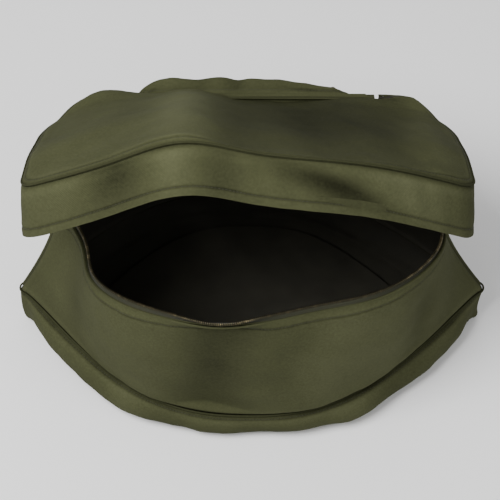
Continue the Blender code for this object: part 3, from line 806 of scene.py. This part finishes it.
@functools.cache
def wall(side):
    """A wall from base seam to rim: its sheet, its place in the flat cloth and its tone of painted shade and
    highlight.
    """
    places = crowded(250, 0.55)
    shares = crowded(64, 0.75)
    foot = resample(base_seam(side), places)
    rim = resample(rim_line(side), places)
    outward = plan_normals(rim)
    along = np.abs(rim[:, 0]) / RIM_HALF_LENGTH
    share = shares[:, None]
    inset = (1 - (1 - share) ** (1 + END_HOLLOW * along ** 4))[:, :, None]
    straight = np.broadcast_to(share, inset.shape[:2])[:, :, None]
    steps = np.concatenate([inset, inset if side < 0 else straight, straight], axis=2)
    if side < 0:
        middle = 1 - ease((along - 0.55) / 0.45)
        out = through((0, 0.12, 0.35, 0.6, 0.85, 1), (0, 0.4, 0.9, 1, 0.5, 0), shares) * FRONT_SWELL
        lift = np.zeros(len(shares))
        target = rim + rim_lean(rim)
        folds = FRONT_FOLDS
    else:
        middle = 1 - ease((along - 0.45) / 0.22)
        rows = (0, 0.15, 0.4, 0.65, 0.83, 0.93, 0.985, 1)
        out = through(rows, (0, 0.25, 0.55, 0.85, 1, 0.95, 0.62, 0), shares) * BACK_ROLL
        lift = through(rows, (0, 0, 0, 0, 0, 0.15, 0.5, 0), shares) * BACK_ROLL
        middle = middle * (1 - 0.45 * ease((rim[:, 0] - 0.020) / 0.090))
        target = rim
        folds = BACK_FOLDS
    sheet = foot + (target - foot) * steps
    sheet = sheet + outward * (out[:, None, None] * middle[:, None])
    sheet[:, :, 2] += lift[:, None] * middle
    weave = flat_weave(sheet)
    calm = ease((1 - along) / 0.10) * np.ones((len(shares), 1))
    fixed = ease((climb(sheet)) / 0.012) * ease((climb(sheet)[-1] - climb(sheet)) / 0.010)
    stitched = (-FRONT_ROW,) if side < 0 else (-BACK_ROW,)
    sheet, tone = worked_cloth(sheet, weave, shares, folds, 11 + side, True, False, True, stitched,
                               calm * fixed)
    for column in (0, -1):
        sheet[:, column, 1] = side * GAP
    return sheet, weave, tone


def base_loop(count):
    """The base seam all round, from the right end, closed."""
    loop = np.vstack([base_seam(1)[:-1], base_seam(-1)])
    return resample(loop, np.linspace(0, 1, count + 1))


def loop_normals(loop):
    """Horizontal outward normals on a closed loop whose last point repeats its first."""
    run = np.roll(loop[:-1], -1, axis=0) - np.roll(loop[:-1], 1, axis=0)
    normals = unit(np.column_stack([run[:, 1], -run[:, 0], np.zeros(len(run))]))
    return np.vstack([normals, normals[:1]])


def pan_sheet():
    """The pan: a flat bottom that rises in a puffed side to the base seam."""
    loop = base_loop(420)
    normals = loop_normals(loop)
    share = np.abs(loop[:, 0]) / BASE_HALF_LENGTH
    bulge = PAN_BULGE * (1 - END_FADE * share ** 5) + SIDE_BULGE * 4 * share ** 2 * (1 - share ** 2)
    floor_edge = loop - normals * PAN_INSET
    bottom = []
    for reach in np.linspace(0, 1, 15)[:-1]:
        bottom.append(np.column_stack([floor_edge[:, 0], floor_edge[:, 1] * reach, np.zeros(len(loop))]))
    steps = (0, 0.22, 0.42, 0.62, 0.82, 1)
    at = crowded(30, 0.5)
    heights = through(steps, (0, 0.08, 0.3, 0.56, 0.82, 1), at)
    outs = through(steps, (-PAN_INSET / PAN_BULGE, -0.1, 0.85, 1.05, 0.7, 0), at)
    side = []
    for height, out in zip(heights, outs):
        swell = out * (bulge if out > 0 else PAN_BULGE)
        row = loop + normals * np.broadcast_to(swell, len(loop))[:, None]
        row[:, 2] = loop[:, 2] * max(0.0, height)
        side.append(row)
    return np.array(bottom), np.array(side), at


def build_pan(finish):
    bottom, side, at = pan_sheet()
    weave_side = flat_weave(side)
    weave_side[:, :, 1] += 0.2
    still = ease(climb(side) / 0.010) * ease((climb(side)[-1] - climb(side)) / 0.008)
    still = still * ease(travel(side) / 0.02) * ease((travel(side)[:, -1:] - travel(side)) / 0.02)
    side, tone = worked_cloth(side, weave_side, at, PAN_FOLDS, 31, False, True, False, (-BASE_ROW,), still)
    sheet = np.concatenate([bottom, side])
    weave = np.concatenate([bottom[:, :, :2], weave_side])
    tone = np.concatenate([np.full(bottom.shape[:2], -0.2), tone])
    sheet[:, -1] = sheet[:, 0]
    piece = sheet_piece("pan", sheet, weave, tone, closed=True)
    sew(piece, bpy.context.scene.tool_bag_sizes.cloth, finish["canvas"], finish["lining"], even=False)
    return piece, side


def build_floor_lining(finish):
    """The lining laid over the stiff board."""
    loop = base_loop(300)
    shrink = np.array([1 - LINING_INSET * 2.1 / BASE_HALF_LENGTH, 1 - LINING_INSET / BASE_HALF_DEPTH])
    rows = []
    for reach in np.linspace(0, 1, 40):
        edge = loop[:, :2] * shrink
        height = np.full(len(loop), LINING_FLOOR + 0.0012)
        rows.append(np.column_stack([edge[:, 0], edge[:, 1] * reach, height]))
    sheet = np.array(rows)
    sheet[:, :, 2] += 0.0009 * ripples(sheet[:, :, 0], sheet[:, :, 1], 0.09, 51)
    sheet[:, :, 2] += 0.0004 * ripples(sheet[:, :, 0], sheet[:, :, 1], 0.03, 52)
    sheet[:, -1] = sheet[:, 0]
    piece = sheet_piece("floor_lining", sheet[::-1][:, ::-1], sheet[::-1][:, ::-1, :2], closed=True)
    sew(piece, 0.0009, finish["lining"], even=False)
    return piece


@functools.cache
def mouth():
    """The rim from the hinge's left end round the front to its right end, with its outward and upward."""
    back, front = wall(1)[0], wall(-1)[0]
    parts = []
    for sheet, lower in ((back, 0.007), (front, 0.010)):
        rim = sheet[-1]
        parts.append(np.hstack([rim, unit(rim - line_on(sheet, lower, from_top=True)[0])]))
    back_rim, front_rim = parts
    left = back_rim[back_rim[:, 0] < -HINGE_HALF_LENGTH]
    right = back_rim[back_rim[:, 0] > HINGE_HALF_LENGTH]
    path = resample(np.vstack([left, front_rim[1:-1], right]), np.linspace(0, 1, 421))
    points, up = path[:, :3], unit(path[:, 3:])
    kernel = np.bartlett(13)
    kernel = kernel / kernel.sum()
    padded = np.pad(up, ((6, 6), (0, 0)), mode="edge")
    up = unit(np.column_stack([np.convolve(padded[:, axis], kernel, mode="valid") for axis in range(3)]))
    return points, unit(np.cross(up, -np.gradient(points, axis=0))), up


def band_sheet(points, outward, up, depth, heights, curl=0.0):
    """A narrow strip inside an edge, at a depth behind it and between heights along the wall's own slope."""
    rows = []
    span = heights[-1] - heights[0]
    for height in heights:
        lean = curl * ((height - heights[0]) / span) ** 2
        rows.append(points + outward * (depth - lean) + up * height)
    return np.array(rows)


def band_piece(name, sheet, thickness, look):
    piece = sheet_piece(name, sheet, flat_weave(sheet))
    sew(piece, thickness, look)
    return piece


def teeth_piece(name, line, outward, up, sizes, look):
    """A run of zip teeth on a line."""
    length = np.linalg.norm(np.diff(line, axis=0), axis=1).sum()
    count = int(length / sizes.tooth_step)
    shares = (np.arange(count) + 0.5) / count
    spots = resample(np.hstack([line, outward, up]), shares)
    ahead = unit(np.cross(spots[:, 6:], spots[:, 3:6]))
    model = tooth_model(sizes.tooth_step * 0.62, TOOTH_WIDTH, TOOTH_HEIGHT)
    return repeated(name, model, spots[:, :3], unit(ahead), unit(spots[:, 6:]), look)


# Lid


def opening_at(x):
    """How far the lid stands open at a place along it, in radians."""
    droop = END_DROOP * (np.abs(x) / LID_HALF_LENGTH) ** DROOP_CURVE
    return np.radians(OPENING - droop + PEAK_RISE * bell(x - PEAK_X, PEAK_WIDTH))


def raised(sheet):
    """Points of the shut lid, turned about the hinge line by the opening at their place."""
    angle = opening_at(sheet[..., 0])
    ahead, above = sheet[..., 1] - HINGE_Y, sheet[..., 2] - HINGE_Z
    y = HINGE_Y + ahead * np.cos(angle) + above * np.sin(angle)
    z = HINGE_Z - ahead * np.sin(angle) + above * np.cos(angle)
    slack = np.clip((np.abs(sheet[..., 0]) - 0.085) / 0.11, 0, 1) ** 1.2
    slack = slack * ease((sheet[..., 1] + 0.05) / 0.12) * ease((HINGE_Y - sheet[..., 1]) / 0.035)
    return np.stack([sheet[..., 0], y - CORNER_PULL * slack, z - CORNER_DROP * slack], axis=-1)


def lid_front_at(x):
    return -LID_FRONT + (LID_FRONT - LID_CORNER_Y) * (np.abs(x) / LID_HALF_LENGTH) ** LID_FRONT_CURVE


def lid_outline():
    """Plan of the shut lid from the hinge's left end round the front to its right end."""
    turn = np.linspace(0, math.pi / 2, 40)
    side = np.column_stack([HINGE_HALF_LENGTH + (LID_HALF_LENGTH - HINGE_HALF_LENGTH) * np.sin(turn),
                            HINGE_Y - LID_BACK_CORNER + LID_BACK_CORNER * np.cos(turn)])
    end_x = LID_HALF_LENGTH - LID_CORNER_RADIUS
    start = np.array([LID_HALF_LENGTH, -LID_CORNER_Y + LID_CORNER_RADIUS])
    corner = np.array([LID_HALF_LENGTH, -LID_CORNER_Y])
    end = np.array([end_x, lid_front_at(end_x)])
    t = np.linspace(0, 1, 25)[:, None]
    bend = (1 - t) ** 2 * start + 2 * t * (1 - t) * corner + t * t * end
    x = np.linspace(end_x, 0, 120)[1:]
    half = np.vstack([side, bend, np.column_stack([x, lid_front_at(x)])])
    half = np.column_stack([half, np.full(len(half), HINGE_Z)])
    return np.vstack([half * (-1, 1, 1), half[-2::-1]])


@functools.cache
def lid_edge():
    """The shut lid's outline, its outward normals, and the skirt's height at each point."""
    outline = lid_outline()
    places = crowded(380, 0.35)
    curve = resample(outline, places)
    length = np.linalg.norm(np.diff(outline, axis=0), axis=1).sum()
    from_end = np.minimum(places, 1 - places) * length
    full = SKIRT_MIDDLE + (SKIRT_CORNER - SKIRT_MIDDLE) * (np.abs(curve[:, 0]) / LID_HALF_LENGTH) ** 2
    heights = SKIRT_TAIL + (full - SKIRT_TAIL) * ease((from_end - SKIRT_TAIL_LENGTH) / SKIRT_GROWTH)
    return curve, plan_normals(curve), heights


@functools.cache
def lid_top_sheet():
    """The top panel of the shut lid, crowned between its sewn edge and the hinge line."""
    curve = lid_edge()[0]
    places = crowded(380, 0.35)
    shares = crowded(56, 0.7)
    reach = HINGE_HALF_LENGTH - HINGE_EDGE_MARGIN
    hinge = np.column_stack([reach * (2 * places - 1), np.full(len(curve), HINGE_Y - 0.001),
                             np.full(len(curve), HINGE_Z)])
    cloth = bpy.context.scene.tool_bag_sizes.cloth
    share = shares[:, None, None]
    sheet = curve + (hinge - curve) * share
    reach = np.linalg.norm((hinge - curve)[:, :2], axis=1)
    sheet[:, :, 2] += cloth + LID_CROWN * 4 * (share * (1 - share))[:, :, 0] * ease(reach / CROWN_REACH)
    weave = sheet[:, :, :2].copy()
    still = ease(climb(sheet) / 0.010) * ease((climb(sheet)[-1] - climb(sheet)) / 0.006)
    sheet, tone = worked_cloth(sheet, weave, shares, TOP_FOLDS, 71, True, False, False, (LID_ROW,), still)
    # Beside the hinge's ends the edge runs along the hinge line, so the first few stations have no width.
    wide = slice(LID_THIN_STATIONS, -LID_THIN_STATIONS)
    return sheet[:, wide], weave[:, wide], tone[:, wide]


@functools.cache
def skirt_sheet():
    """The skirt of the shut lid, from its hem up to the seam."""
    curve, outward, heights = lid_edge()
    shares = crowded(44, 0.7)
    down = (1 - shares)[:, None]
    flare = SKIRT_FLARE * heights / SKIRT_MIDDLE * through((0, 0.5, 1), (0, 0.8, 1), down[:, 0])[:, None]
    sheet = curve + outward * flare[:, :, None]
    sheet[:, :, 2] -= GAP + heights * down
    weave = flat_weave(sheet)
    still = ease(heights / 0.03) * ease((climb(sheet)[-1] - climb(sheet)) / 0.008)
    sheet, tone = worked_cloth(sheet, weave, shares, SKIRT_FOLDS, 91, False, True, False, (HEM_ROW,), still)
    return sheet, weave, tone


def dress(look, *nodes):
    """Give working parts that are seen as they are their finished material."""
    for node in nodes:
        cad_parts[node].data.materials.clear()
        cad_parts[node].data.materials.append(look)


def on_lid(piece, slot, *nodes):
    return settle(piece, "lid", slot, *nodes)


def settle(piece, body, slot, *nodes):
    """Let a piece ride on its body, in place of its working parts."""
    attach(piece, body)
    if nodes:
        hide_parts(*nodes)
    return piece


# Operators, one for each group of pieces


class TOOLBAG_OT_base(bpy.types.Operator):
    """Sew the pan, its welt and the lining over the board"""
    bl_idname = "toolbag.base"
    bl_label = "Base Pan"

    def execute(self, context):
        finish = finishes()
        pan, side = build_pan(finish)
        settle(pan, "body", "canvas", "base_panel")
        settle(build_floor_lining(finish), "body", "lining", "base_lining")
        loop = base_loop(400)
        welt = loop - loop_normals(loop) * 0.0004
        settle(cord_piece("base_welt", welt, 0.0011, finish["seam"]), "body", "binding", "base_binding")
        line, normals = line_on(side, BASE_ROW, from_top=True)
        rows = stitches("base_stitches", [(line, normals)], context.scene.tool_bag_sizes, finish["thread"])
        settle(rows, "body", "canvas")
        dress(finish["board"], "base_board")
        return {"FINISHED"}


class TOOLBAG_OT_walls(bpy.types.Operator):
    """Sew the front and back walls and the upright seams at the two ends"""
    bl_idname = "toolbag.walls"
    bl_label = "Walls"

    def execute(self, context):
        finish = finishes()
        sizes = context.scene.tool_bag_sizes
        for name, side, node in (("front_wall", -1, "front_panel"), ("back_wall", 1, "back_panel")):
            sheet, weave, tone = wall(side)
            piece = sheet_piece(name, sheet, weave, tone)
            sew(piece, sizes.cloth, finish["canvas"], finish["lining"])
            settle(piece, "body", "canvas", node)
        front = wall(-1)[0]
        ends = (("end_seam_left", 0, "end_binding_left"), ("end_seam_right", -1, "end_binding_right"))
        for name, column, node in ends:
            line = front[2:-1, column].copy()
            line[:, 1] = 0
            line = resample(line, np.linspace(0, 1, 61))
            line[:, 0] -= math.copysign(0.0010, line[0, 0])
            settle(cord_piece(name, line, 0.0012, finish["seam"]), "body", "binding", node)
        line, normals = line_on(front, FRONT_ROW, from_top=True)
        back_line, back_normals = line_on(wall(1)[0], BACK_ROW, from_top=True)
        rows = [(line[3:-3], normals[3:-3]), (back_line[3:-3], back_normals[3:-3])]
        settle(stitches("rim_stitches", rows, sizes, finish["thread"]), "body", "canvas")
        return {"FINISHED"}


class TOOLBAG_OT_rim(bpy.types.Operator):
    """Line the rim with its turned hem, the zip's lower tape and its teeth"""
    bl_idname = "toolbag.rim"
    bl_label = "Rim and Lower Zip"

    def execute(self, context):
        finish = finishes()
        sizes = context.scene.tool_bag_sizes
        points, outward, up = mouth()
        hem = -(sizes.cloth + 2 * GAP)
        facing = band_sheet(points, outward, up, hem, np.linspace(-HEM_DEPTH, -GAP, 7))
        settle(band_piece("rim_hem", facing, FACING, finish["facing"]), "body", "facing", "rim_facing")
        depth = hem - FACING - GAP
        run = points[:, 1] < ZIP_END_Y + TAPE_TAIL
        heights = np.linspace(-ZIP_DEPTH, ZIP_RISE, 13)
        tape = band_sheet(points[run], outward[run], up[run], depth, heights, 0.0004)
        settle(band_piece("lower_tape", tape, TAPE, finish["tape"]), "body", "zip_tape", "zip_tape_body")
        toothed = points[:, 1] < ZIP_END_Y
        line = (points + outward * (depth - TAPE) + up * (ZIP_RISE + 0.0009))[toothed]
        teeth = teeth_piece("lower_teeth", line, outward[toothed], up[toothed], sizes, finish["teeth"])
        settle(teeth, "body", "zip_teeth", "zip_chain_body")
        sewn = (points + outward * depth + up * (ZIP_RISE - 0.0022))[run]
        rows = stitches("lower_tape_stitches", [(sewn, outward[run])], sizes, finish["thread"])
        settle(rows, "body", "zip_tape")
        dress(finish["metal"], "zip_stop_left", "zip_stop_right")
        return {"FINISHED"}


class TOOLBAG_OT_lid(bpy.types.Operator):
    """Sew the lid's top panel, its skirt, the welt between them and their top-stitching"""
    bl_idname = "toolbag.lid"
    bl_label = "Lid"

    def execute(self, context):
        finish = finishes()
        sizes = context.scene.tool_bag_sizes
        top, top_weave, top_tone = lid_top_sheet()
        crown = sheet_piece("lid_crown", raised(top), top_weave, top_tone, closed=True)
        sew(crown, sizes.cloth, finish["canvas"], finish["lining"], even=False)
        on_lid(crown, "canvas", "lid_top")
        skirt, skirt_weave, skirt_tone = skirt_sheet()
        boxing = sheet_piece("lid_boxing", raised(skirt), skirt_weave, skirt_tone)
        sew(boxing, sizes.cloth, finish["canvas"], finish["lining"], even=False)
        on_lid(boxing, "canvas", "lid_skirt")
        curve, outward, heights = lid_edge()
        welt = raised(curve - outward * 0.0006)
        on_lid(cord_piece("lid_welt", welt, 0.0010, finish["seam"]), "binding", "lid_binding")
        line, normals = line_on(raised(top), LID_ROW)
        hem_line, hem_normals = line_on(raised(skirt), HEM_ROW)
        deep = heights > 0.02
        rows = [(line[8:-8], normals[8:-8]), (hem_line[deep], hem_normals[deep])]
        on_lid(stitches("lid_stitches", rows, sizes, finish["thread"]), "canvas")
        return {"FINISHED"}


class TOOLBAG_OT_lid_zip(bpy.types.Operator):
    """Line the lid's hem and sew in the zip's upper tape and its teeth"""
    bl_idname = "toolbag.lid_zip"
    bl_label = "Lid Hem and Upper Zip"

    def execute(self, context):
        finish = finishes()
        sizes = context.scene.tool_bag_sizes
        curve, outward, heights = lid_edge()
        skirt = skirt_sheet()[0]
        keep = slice(len(curve) // 6, -(len(curve) // 6))
        foot, normals = skirt[0, keep], outward[keep]
        up = np.broadcast_to((0, 0, 1), foot.shape)
        hem = -(sizes.cloth + GAP)
        facing = raised(band_sheet(foot, normals, up, hem, np.linspace(0.003, 0.014, 6)))
        on_lid(band_piece("lid_hem_facing", facing, FACING, finish["facing"]), "facing", "lid_hem")
        depth = hem - FACING - GAP
        tape = raised(band_sheet(foot, normals, up, depth, np.linspace(0.003, 0.013, 8)))
        on_lid(band_piece("upper_tape", tape, TAPE, finish["tape"]), "zip_tape", "zip_tape_lid")
        line = raised(foot + normals * (depth - TAPE / 2) + up * 0.0015)
        ahead = np.gradient(line, axis=0)
        away = raised(foot + normals * 0.01) - raised(foot)
        upward = unit(np.cross(unit(away), unit(ahead)))
        teeth = teeth_piece("upper_teeth", line, unit(away), upward, sizes, finish["teeth"])
        on_lid(teeth, "zip_teeth", "zip_chain_lid")
        return {"FINISHED"}


class TOOLBAG_OT_hinge(bpy.types.Operator):
    """Join the lid to the back wall with a folded strip, shaped to the lid as it stands open"""
    bl_idname = "toolbag.hinge"
    bl_label = "Cloth Hinge"

    def execute(self, context):
        finish = finishes()
        reach = HINGE_HALF_LENGTH - HINGE_STRIP_MARGIN
        x = np.linspace(reach, -reach, 121)
        profile = ((0.1175, 0.2370), (0.1185, 0.2415), (0.1195, 0.2455), (0.1190, 0.2485),
                   (0.1165, 0.2500), (0.1120, 0.2493), (0.1060, 0.2490))
        at = np.linspace(0, 1, 25)
        steps = np.linspace(0, 1, len(profile))
        ys = through(steps, [place[0] for place in profile], at)
        zs = through(steps, [place[1] for place in profile], at)
        rows = []
        for y, z in zip(ys, zs):
            row = np.column_stack([x, np.full(len(x), y), np.full(len(x), z)])
            rows.append(raised(row) if y < HINGE_Y and z > HINGE_Z - 0.002 else row)
        sheet = np.array(rows)
        strip = band_piece("hinge_strip", sheet, 0.0009, finish["facing"])
        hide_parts("hinge_tape")
        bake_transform(strip)
        return {"FINISHED"}


class TOOLBAG_OT_slider(bpy.types.Operator):
    """Finish the zip's slider, crown and pull tab"""
    bl_idname = "toolbag.slider"
    bl_label = "Zip Slider"

    def execute(self, context):
        dress(finishes()["metal"], "zip_slider", "zip_crown", "zip_puller")
        return {"FINISHED"}


class TOOLBAG_OT_handle(bpy.types.Operator):
    """Sew the grab strap and its patches to the back wall"""
    bl_idname = "toolbag.handle"
    bl_label = "Grab Strap"

    def execute(self, context):
        finish = finishes()
        sizes = context.scene.tool_bag_sizes
        back = wall(1)[0].reshape(-1, 3)

        def wall_y(x):
            near = (np.abs(back[:, 0] - x) < 0.008) & (np.abs(back[:, 2] - STRAP_HEIGHT) < 0.024)
            return back[near, 1].max()

        low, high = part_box("carry_handle")
        thickness = 0.0036
        x = np.linspace(high.x, low.x, 141)
        seat = np.array([wall_y(place) for place in x])
        free = STRAP_SPAN / 2 - PATCH_SIZE / 2
        bow = 0.006 * np.cos(math.pi / 2 * np.minimum(1, np.abs(x) / free)) ** 2
        outer = seat + 0.001 + bow + thickness
        heights = crowded(16, 0.6)
        half = (high.z - low.z) / 2
        rows = []
        for share in heights:
            z = STRAP_HEIGHT + half * (2 * share - 1) * (1 - 0.10 * bell(x, 0.030))
            swell = 0.0006 * (1 - (2 * share - 1) ** 2)
            rows.append(np.column_stack([x, outer + swell, z]))
        sheet = np.array(rows)
        strap = sheet_piece("grab_strap", sheet, flat_weave(sheet))
        sew(strap, thickness, finish["webbing"], edge=0.25)
        settle(strap, "body", "webbing", "carry_handle")
        lines = []
        for margin in (STRAP_ROW, high.z - low.z - STRAP_ROW):
            lines.append(line_on(sheet, margin))
        settle(stitches("strap_stitches", lines, sizes, finish["thread"]), "body", "webbing")
        self.patches(sizes, finish, wall_y)
        dress(finish["metal"], "handle_rivet_left_1", "handle_rivet_left_2",
              "handle_rivet_right_1", "handle_rivet_right_2")
        return {"FINISHED"}

    def patches(self, sizes, finish, wall_y):
        """The sewn squares over the strap's ends."""
        for name, hand in (("left", -1), ("right", 1)):
            low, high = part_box("handle_patch_" + name)
            x = np.linspace(high.x, low.x, 41)
            seat = np.array([wall_y(place) for place in x]) + 0.0056 + sizes.cloth
            rows = []
            for share in crowded(24, 0.6):
                z = np.full(len(x), low.z + (high.z - low.z) * share)
                rows.append(np.column_stack([x, seat, z]))
            sheet = np.array(rows)
            up, along = climb(sheet), travel(sheet)
            edge = np.minimum(np.minimum(up, up[-1] - up), np.minimum(along, along[:, -1:] - along))
            sheet[:, :, 1] -= 0.0004 * bell(edge - STRAP_ROW, 0.001) + 0.0006 * bell(edge, 0.0012)
            # painted shade along the stitch row and a painted highlight on the patch's rolled edge
            tone = -0.3 * bell(edge - STRAP_ROW, 0.001) + 0.2 * bell(edge, 0.0015)
            patch = sheet_piece("strap_patch_" + name, sheet, flat_weave(sheet), tone)
            sew(patch, sizes.cloth, finish["canvas"])
            settle(patch, "body", "canvas", "handle_patch_" + name)
            rows = [line_on(sheet, STRAP_ROW), line_on(sheet, STRAP_ROW, from_top=True)]
            normals = sheet_normals(sheet)
            for column in (3, -4):
                rows.append((sheet[4:-4, column], normals[4:-4, column]))
            settle(stitches("patch_stitches_" + name, rows, sizes, finish["thread"]), "body", "canvas")


class TOOLBAG_OT_stage(bpy.types.Operator):
    """Set the floor, the lights and the camera"""
    bl_idname = "toolbag.stage"
    bl_label = "Stage"

    def execute(self, context):
        colours = context.scene.tool_bag_colours
        lights = context.scene.tool_bag_lights
        deselect()
        bpy.ops.mesh.primitive_plane_add(size=8, location=(0, 0, -0.0005))
        floor = bpy.context.object
        bpy.ops.object.transform_apply(location=True, rotation=False, scale=False)
        floor.name = "floor"
        floor.data.materials.append(floor_look("paper_sweep", tuple(colours.floor)))
        world = bpy.data.worlds.new("studio")
        world.use_nodes = True
        world.node_tree.nodes["Background"].inputs["Color"].default_value = (1, 1, 1, 1)
        world.node_tree.nodes["Background"].inputs["Strength"].default_value = lights.surround
        context.scene.world = world
        self.lamp("key", (-0.75, -0.55, 1.75), 0.9, lights.key)
        self.lamp("fill", (1.3, -1.0, 1.3), 1.4, lights.fill)
        self.lamp("rim", (0.3, 1.6, 1.5), 1.2, lights.rim)
        self.camera(context)
        return {"FINISHED"}

    def lamp(self, name, place, size, power):
        bpy.ops.object.light_add(type="AREA", location=place)
        lamp = bpy.context.object
        lamp.name = name
        lamp.data.size = size
        lamp.data.energy = power
        lamp.rotation_euler = (Vector((0, 0, 0.15)) - Vector(place)).to_track_quat("-Z", "Y").to_euler()

    def camera(self, context):
        """Look down on the front of the bag from 57 degrees above the floor."""
        target = Vector((0.002, 0.015, 0.112))
        height = math.radians(57)
        away = 1.720
        place = target + away * Vector((0, -math.cos(height), math.sin(height)))
        bpy.ops.object.camera_add(location=place)
        camera = bpy.context.object
        camera.rotation_euler = (target - place).to_track_quat("-Z", "Y").to_euler()
        camera.data.lens = 115.2
        camera.data.sensor_width = 36
        context.scene.camera = camera


# What a user can change


def metres(name, description, default):
    return FloatProperty(name=name, description=description, default=default, min=0.0, unit="LENGTH",
                         precision=5)


def colour(name, description, default):
    return FloatVectorProperty(name=name, description=description, default=default, min=0, max=1,
                               subtype="COLOR")


class ToolBagSizes(bpy.types.PropertyGroup):
    """Sizes of the cloth and its sewing."""
    cloth: metres("Cloth", "Thickness of one layer of canvas", 0.0018)
    seam_roll: metres("Seam Roll", "How deep a sewn edge rolls under", 0.0024)
    thread: metres("Thread", "Width of the sewing thread", 0.0007)
    stitch_length: metres("Stitch Length", "Length of one stitch", 0.0024)
    stitch_step: metres("Stitch Step", "From one stitch to the next", 0.0033)
    tooth_step: metres("Tooth Step", "From one zip tooth to the next", 0.0021)
    folds: FloatProperty(name="Folds", description="Depth of the large folds", default=1.0)
    wrinkles: FloatProperty(name="Wrinkles", description="Depth of the small wrinkles", default=1.0)


class ToolBagColours(bpy.types.PropertyGroup):
    """Colours of the cloths and fittings."""
    canvas: colour("Canvas", "Dyed canvas", (0.048, 0.051, 0.0245))
    lining: colour("Lining", "Inside cloth", (0.030, 0.028, 0.020))
    board: colour("Board", "Stiffening board", (0.020, 0.019, 0.016))
    webbing: colour("Webbing", "Grab strap", (0.030, 0.031, 0.014))
    tape: colour("Zip Tape", "Woven tape beside the teeth", (0.034, 0.035, 0.018))
    teeth: colour("Zip Teeth", "Darkened brass teeth", (0.075, 0.066, 0.040))
    thread: colour("Thread", "Sewing thread", (0.018, 0.0185, 0.008))
    metal: colour("Metal", "Blackened brass", (0.10, 0.085, 0.05))
    worn_metal: colour("Worn Metal", "Brass where it is rubbed", (0.32, 0.26, 0.14))
    floor: colour("Floor", "Paper sweep under the bag", (0.90, 0.90, 0.90))


class ToolBagLights(bpy.types.PropertyGroup):
    """Strength of the studio's lights."""
    key: FloatProperty(name="Key", description="Large lamp above the left front, in watts", default=50)
    fill: FloatProperty(name="Fill", description="Lamp at the right, in watts", default=9)
    rim: FloatProperty(name="Rim", description="Lamp behind, in watts", default=4)
    surround: FloatProperty(name="Surround", description="Light from all round", default=0.5)


class TOOLBAG_PT_panel(bpy.types.Panel):
    """Tool bag"""
    bl_idname = "TOOLBAG_PT_panel"
    bl_label = "Tool Bag"
    bl_space_type = "VIEW_3D"
    bl_region_type = "UI"
    bl_category = "Tool Bag"

    def draw(self, context):
        scene = context.scene
        for group in (scene.tool_bag_sizes, scene.tool_bag_colours, scene.tool_bag_lights):
            box = self.layout.box()
            for name in group.__annotations__:
                box.prop(group, name)
        for operator in PIECE_OPERATORS:
            self.layout.operator(operator.bl_idname)


PIECE_OPERATORS = (TOOLBAG_OT_stage, TOOLBAG_OT_base, TOOLBAG_OT_walls, TOOLBAG_OT_rim, TOOLBAG_OT_lid,
                   TOOLBAG_OT_lid_zip, TOOLBAG_OT_hinge, TOOLBAG_OT_slider, TOOLBAG_OT_handle)
GROUPS = {"tool_bag_sizes": ToolBagSizes, "tool_bag_colours": ToolBagColours, "tool_bag_lights": ToolBagLights}


def register():
    for group in GROUPS.values():
        bpy.utils.register_class(group)
    for name, group in GROUPS.items():
        setattr(bpy.types.Scene, name, PointerProperty(type=group))
    for kind in (*PIECE_OPERATORS, TOOLBAG_PT_panel):
        bpy.utils.register_class(kind)


def unregister():
    for kind in (TOOLBAG_PT_panel, *reversed(PIECE_OPERATORS)):
        bpy.utils.unregister_class(kind)
    for name in GROUPS:
        delattr(bpy.types.Scene, name)
    for group in GROUPS.values():
        bpy.utils.unregister_class(group)


def main():
    """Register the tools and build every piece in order."""
    register()
    bpy.ops.toolbag.stage()
    bpy.ops.toolbag.base()
    bpy.ops.toolbag.walls()
    bpy.ops.toolbag.rim()
    bpy.ops.toolbag.lid()
    bpy.ops.toolbag.lid_zip()
    bpy.ops.toolbag.hinge()
    bpy.ops.toolbag.slider()
    bpy.ops.toolbag.handle()


if __name__ == "__main__":
    main()
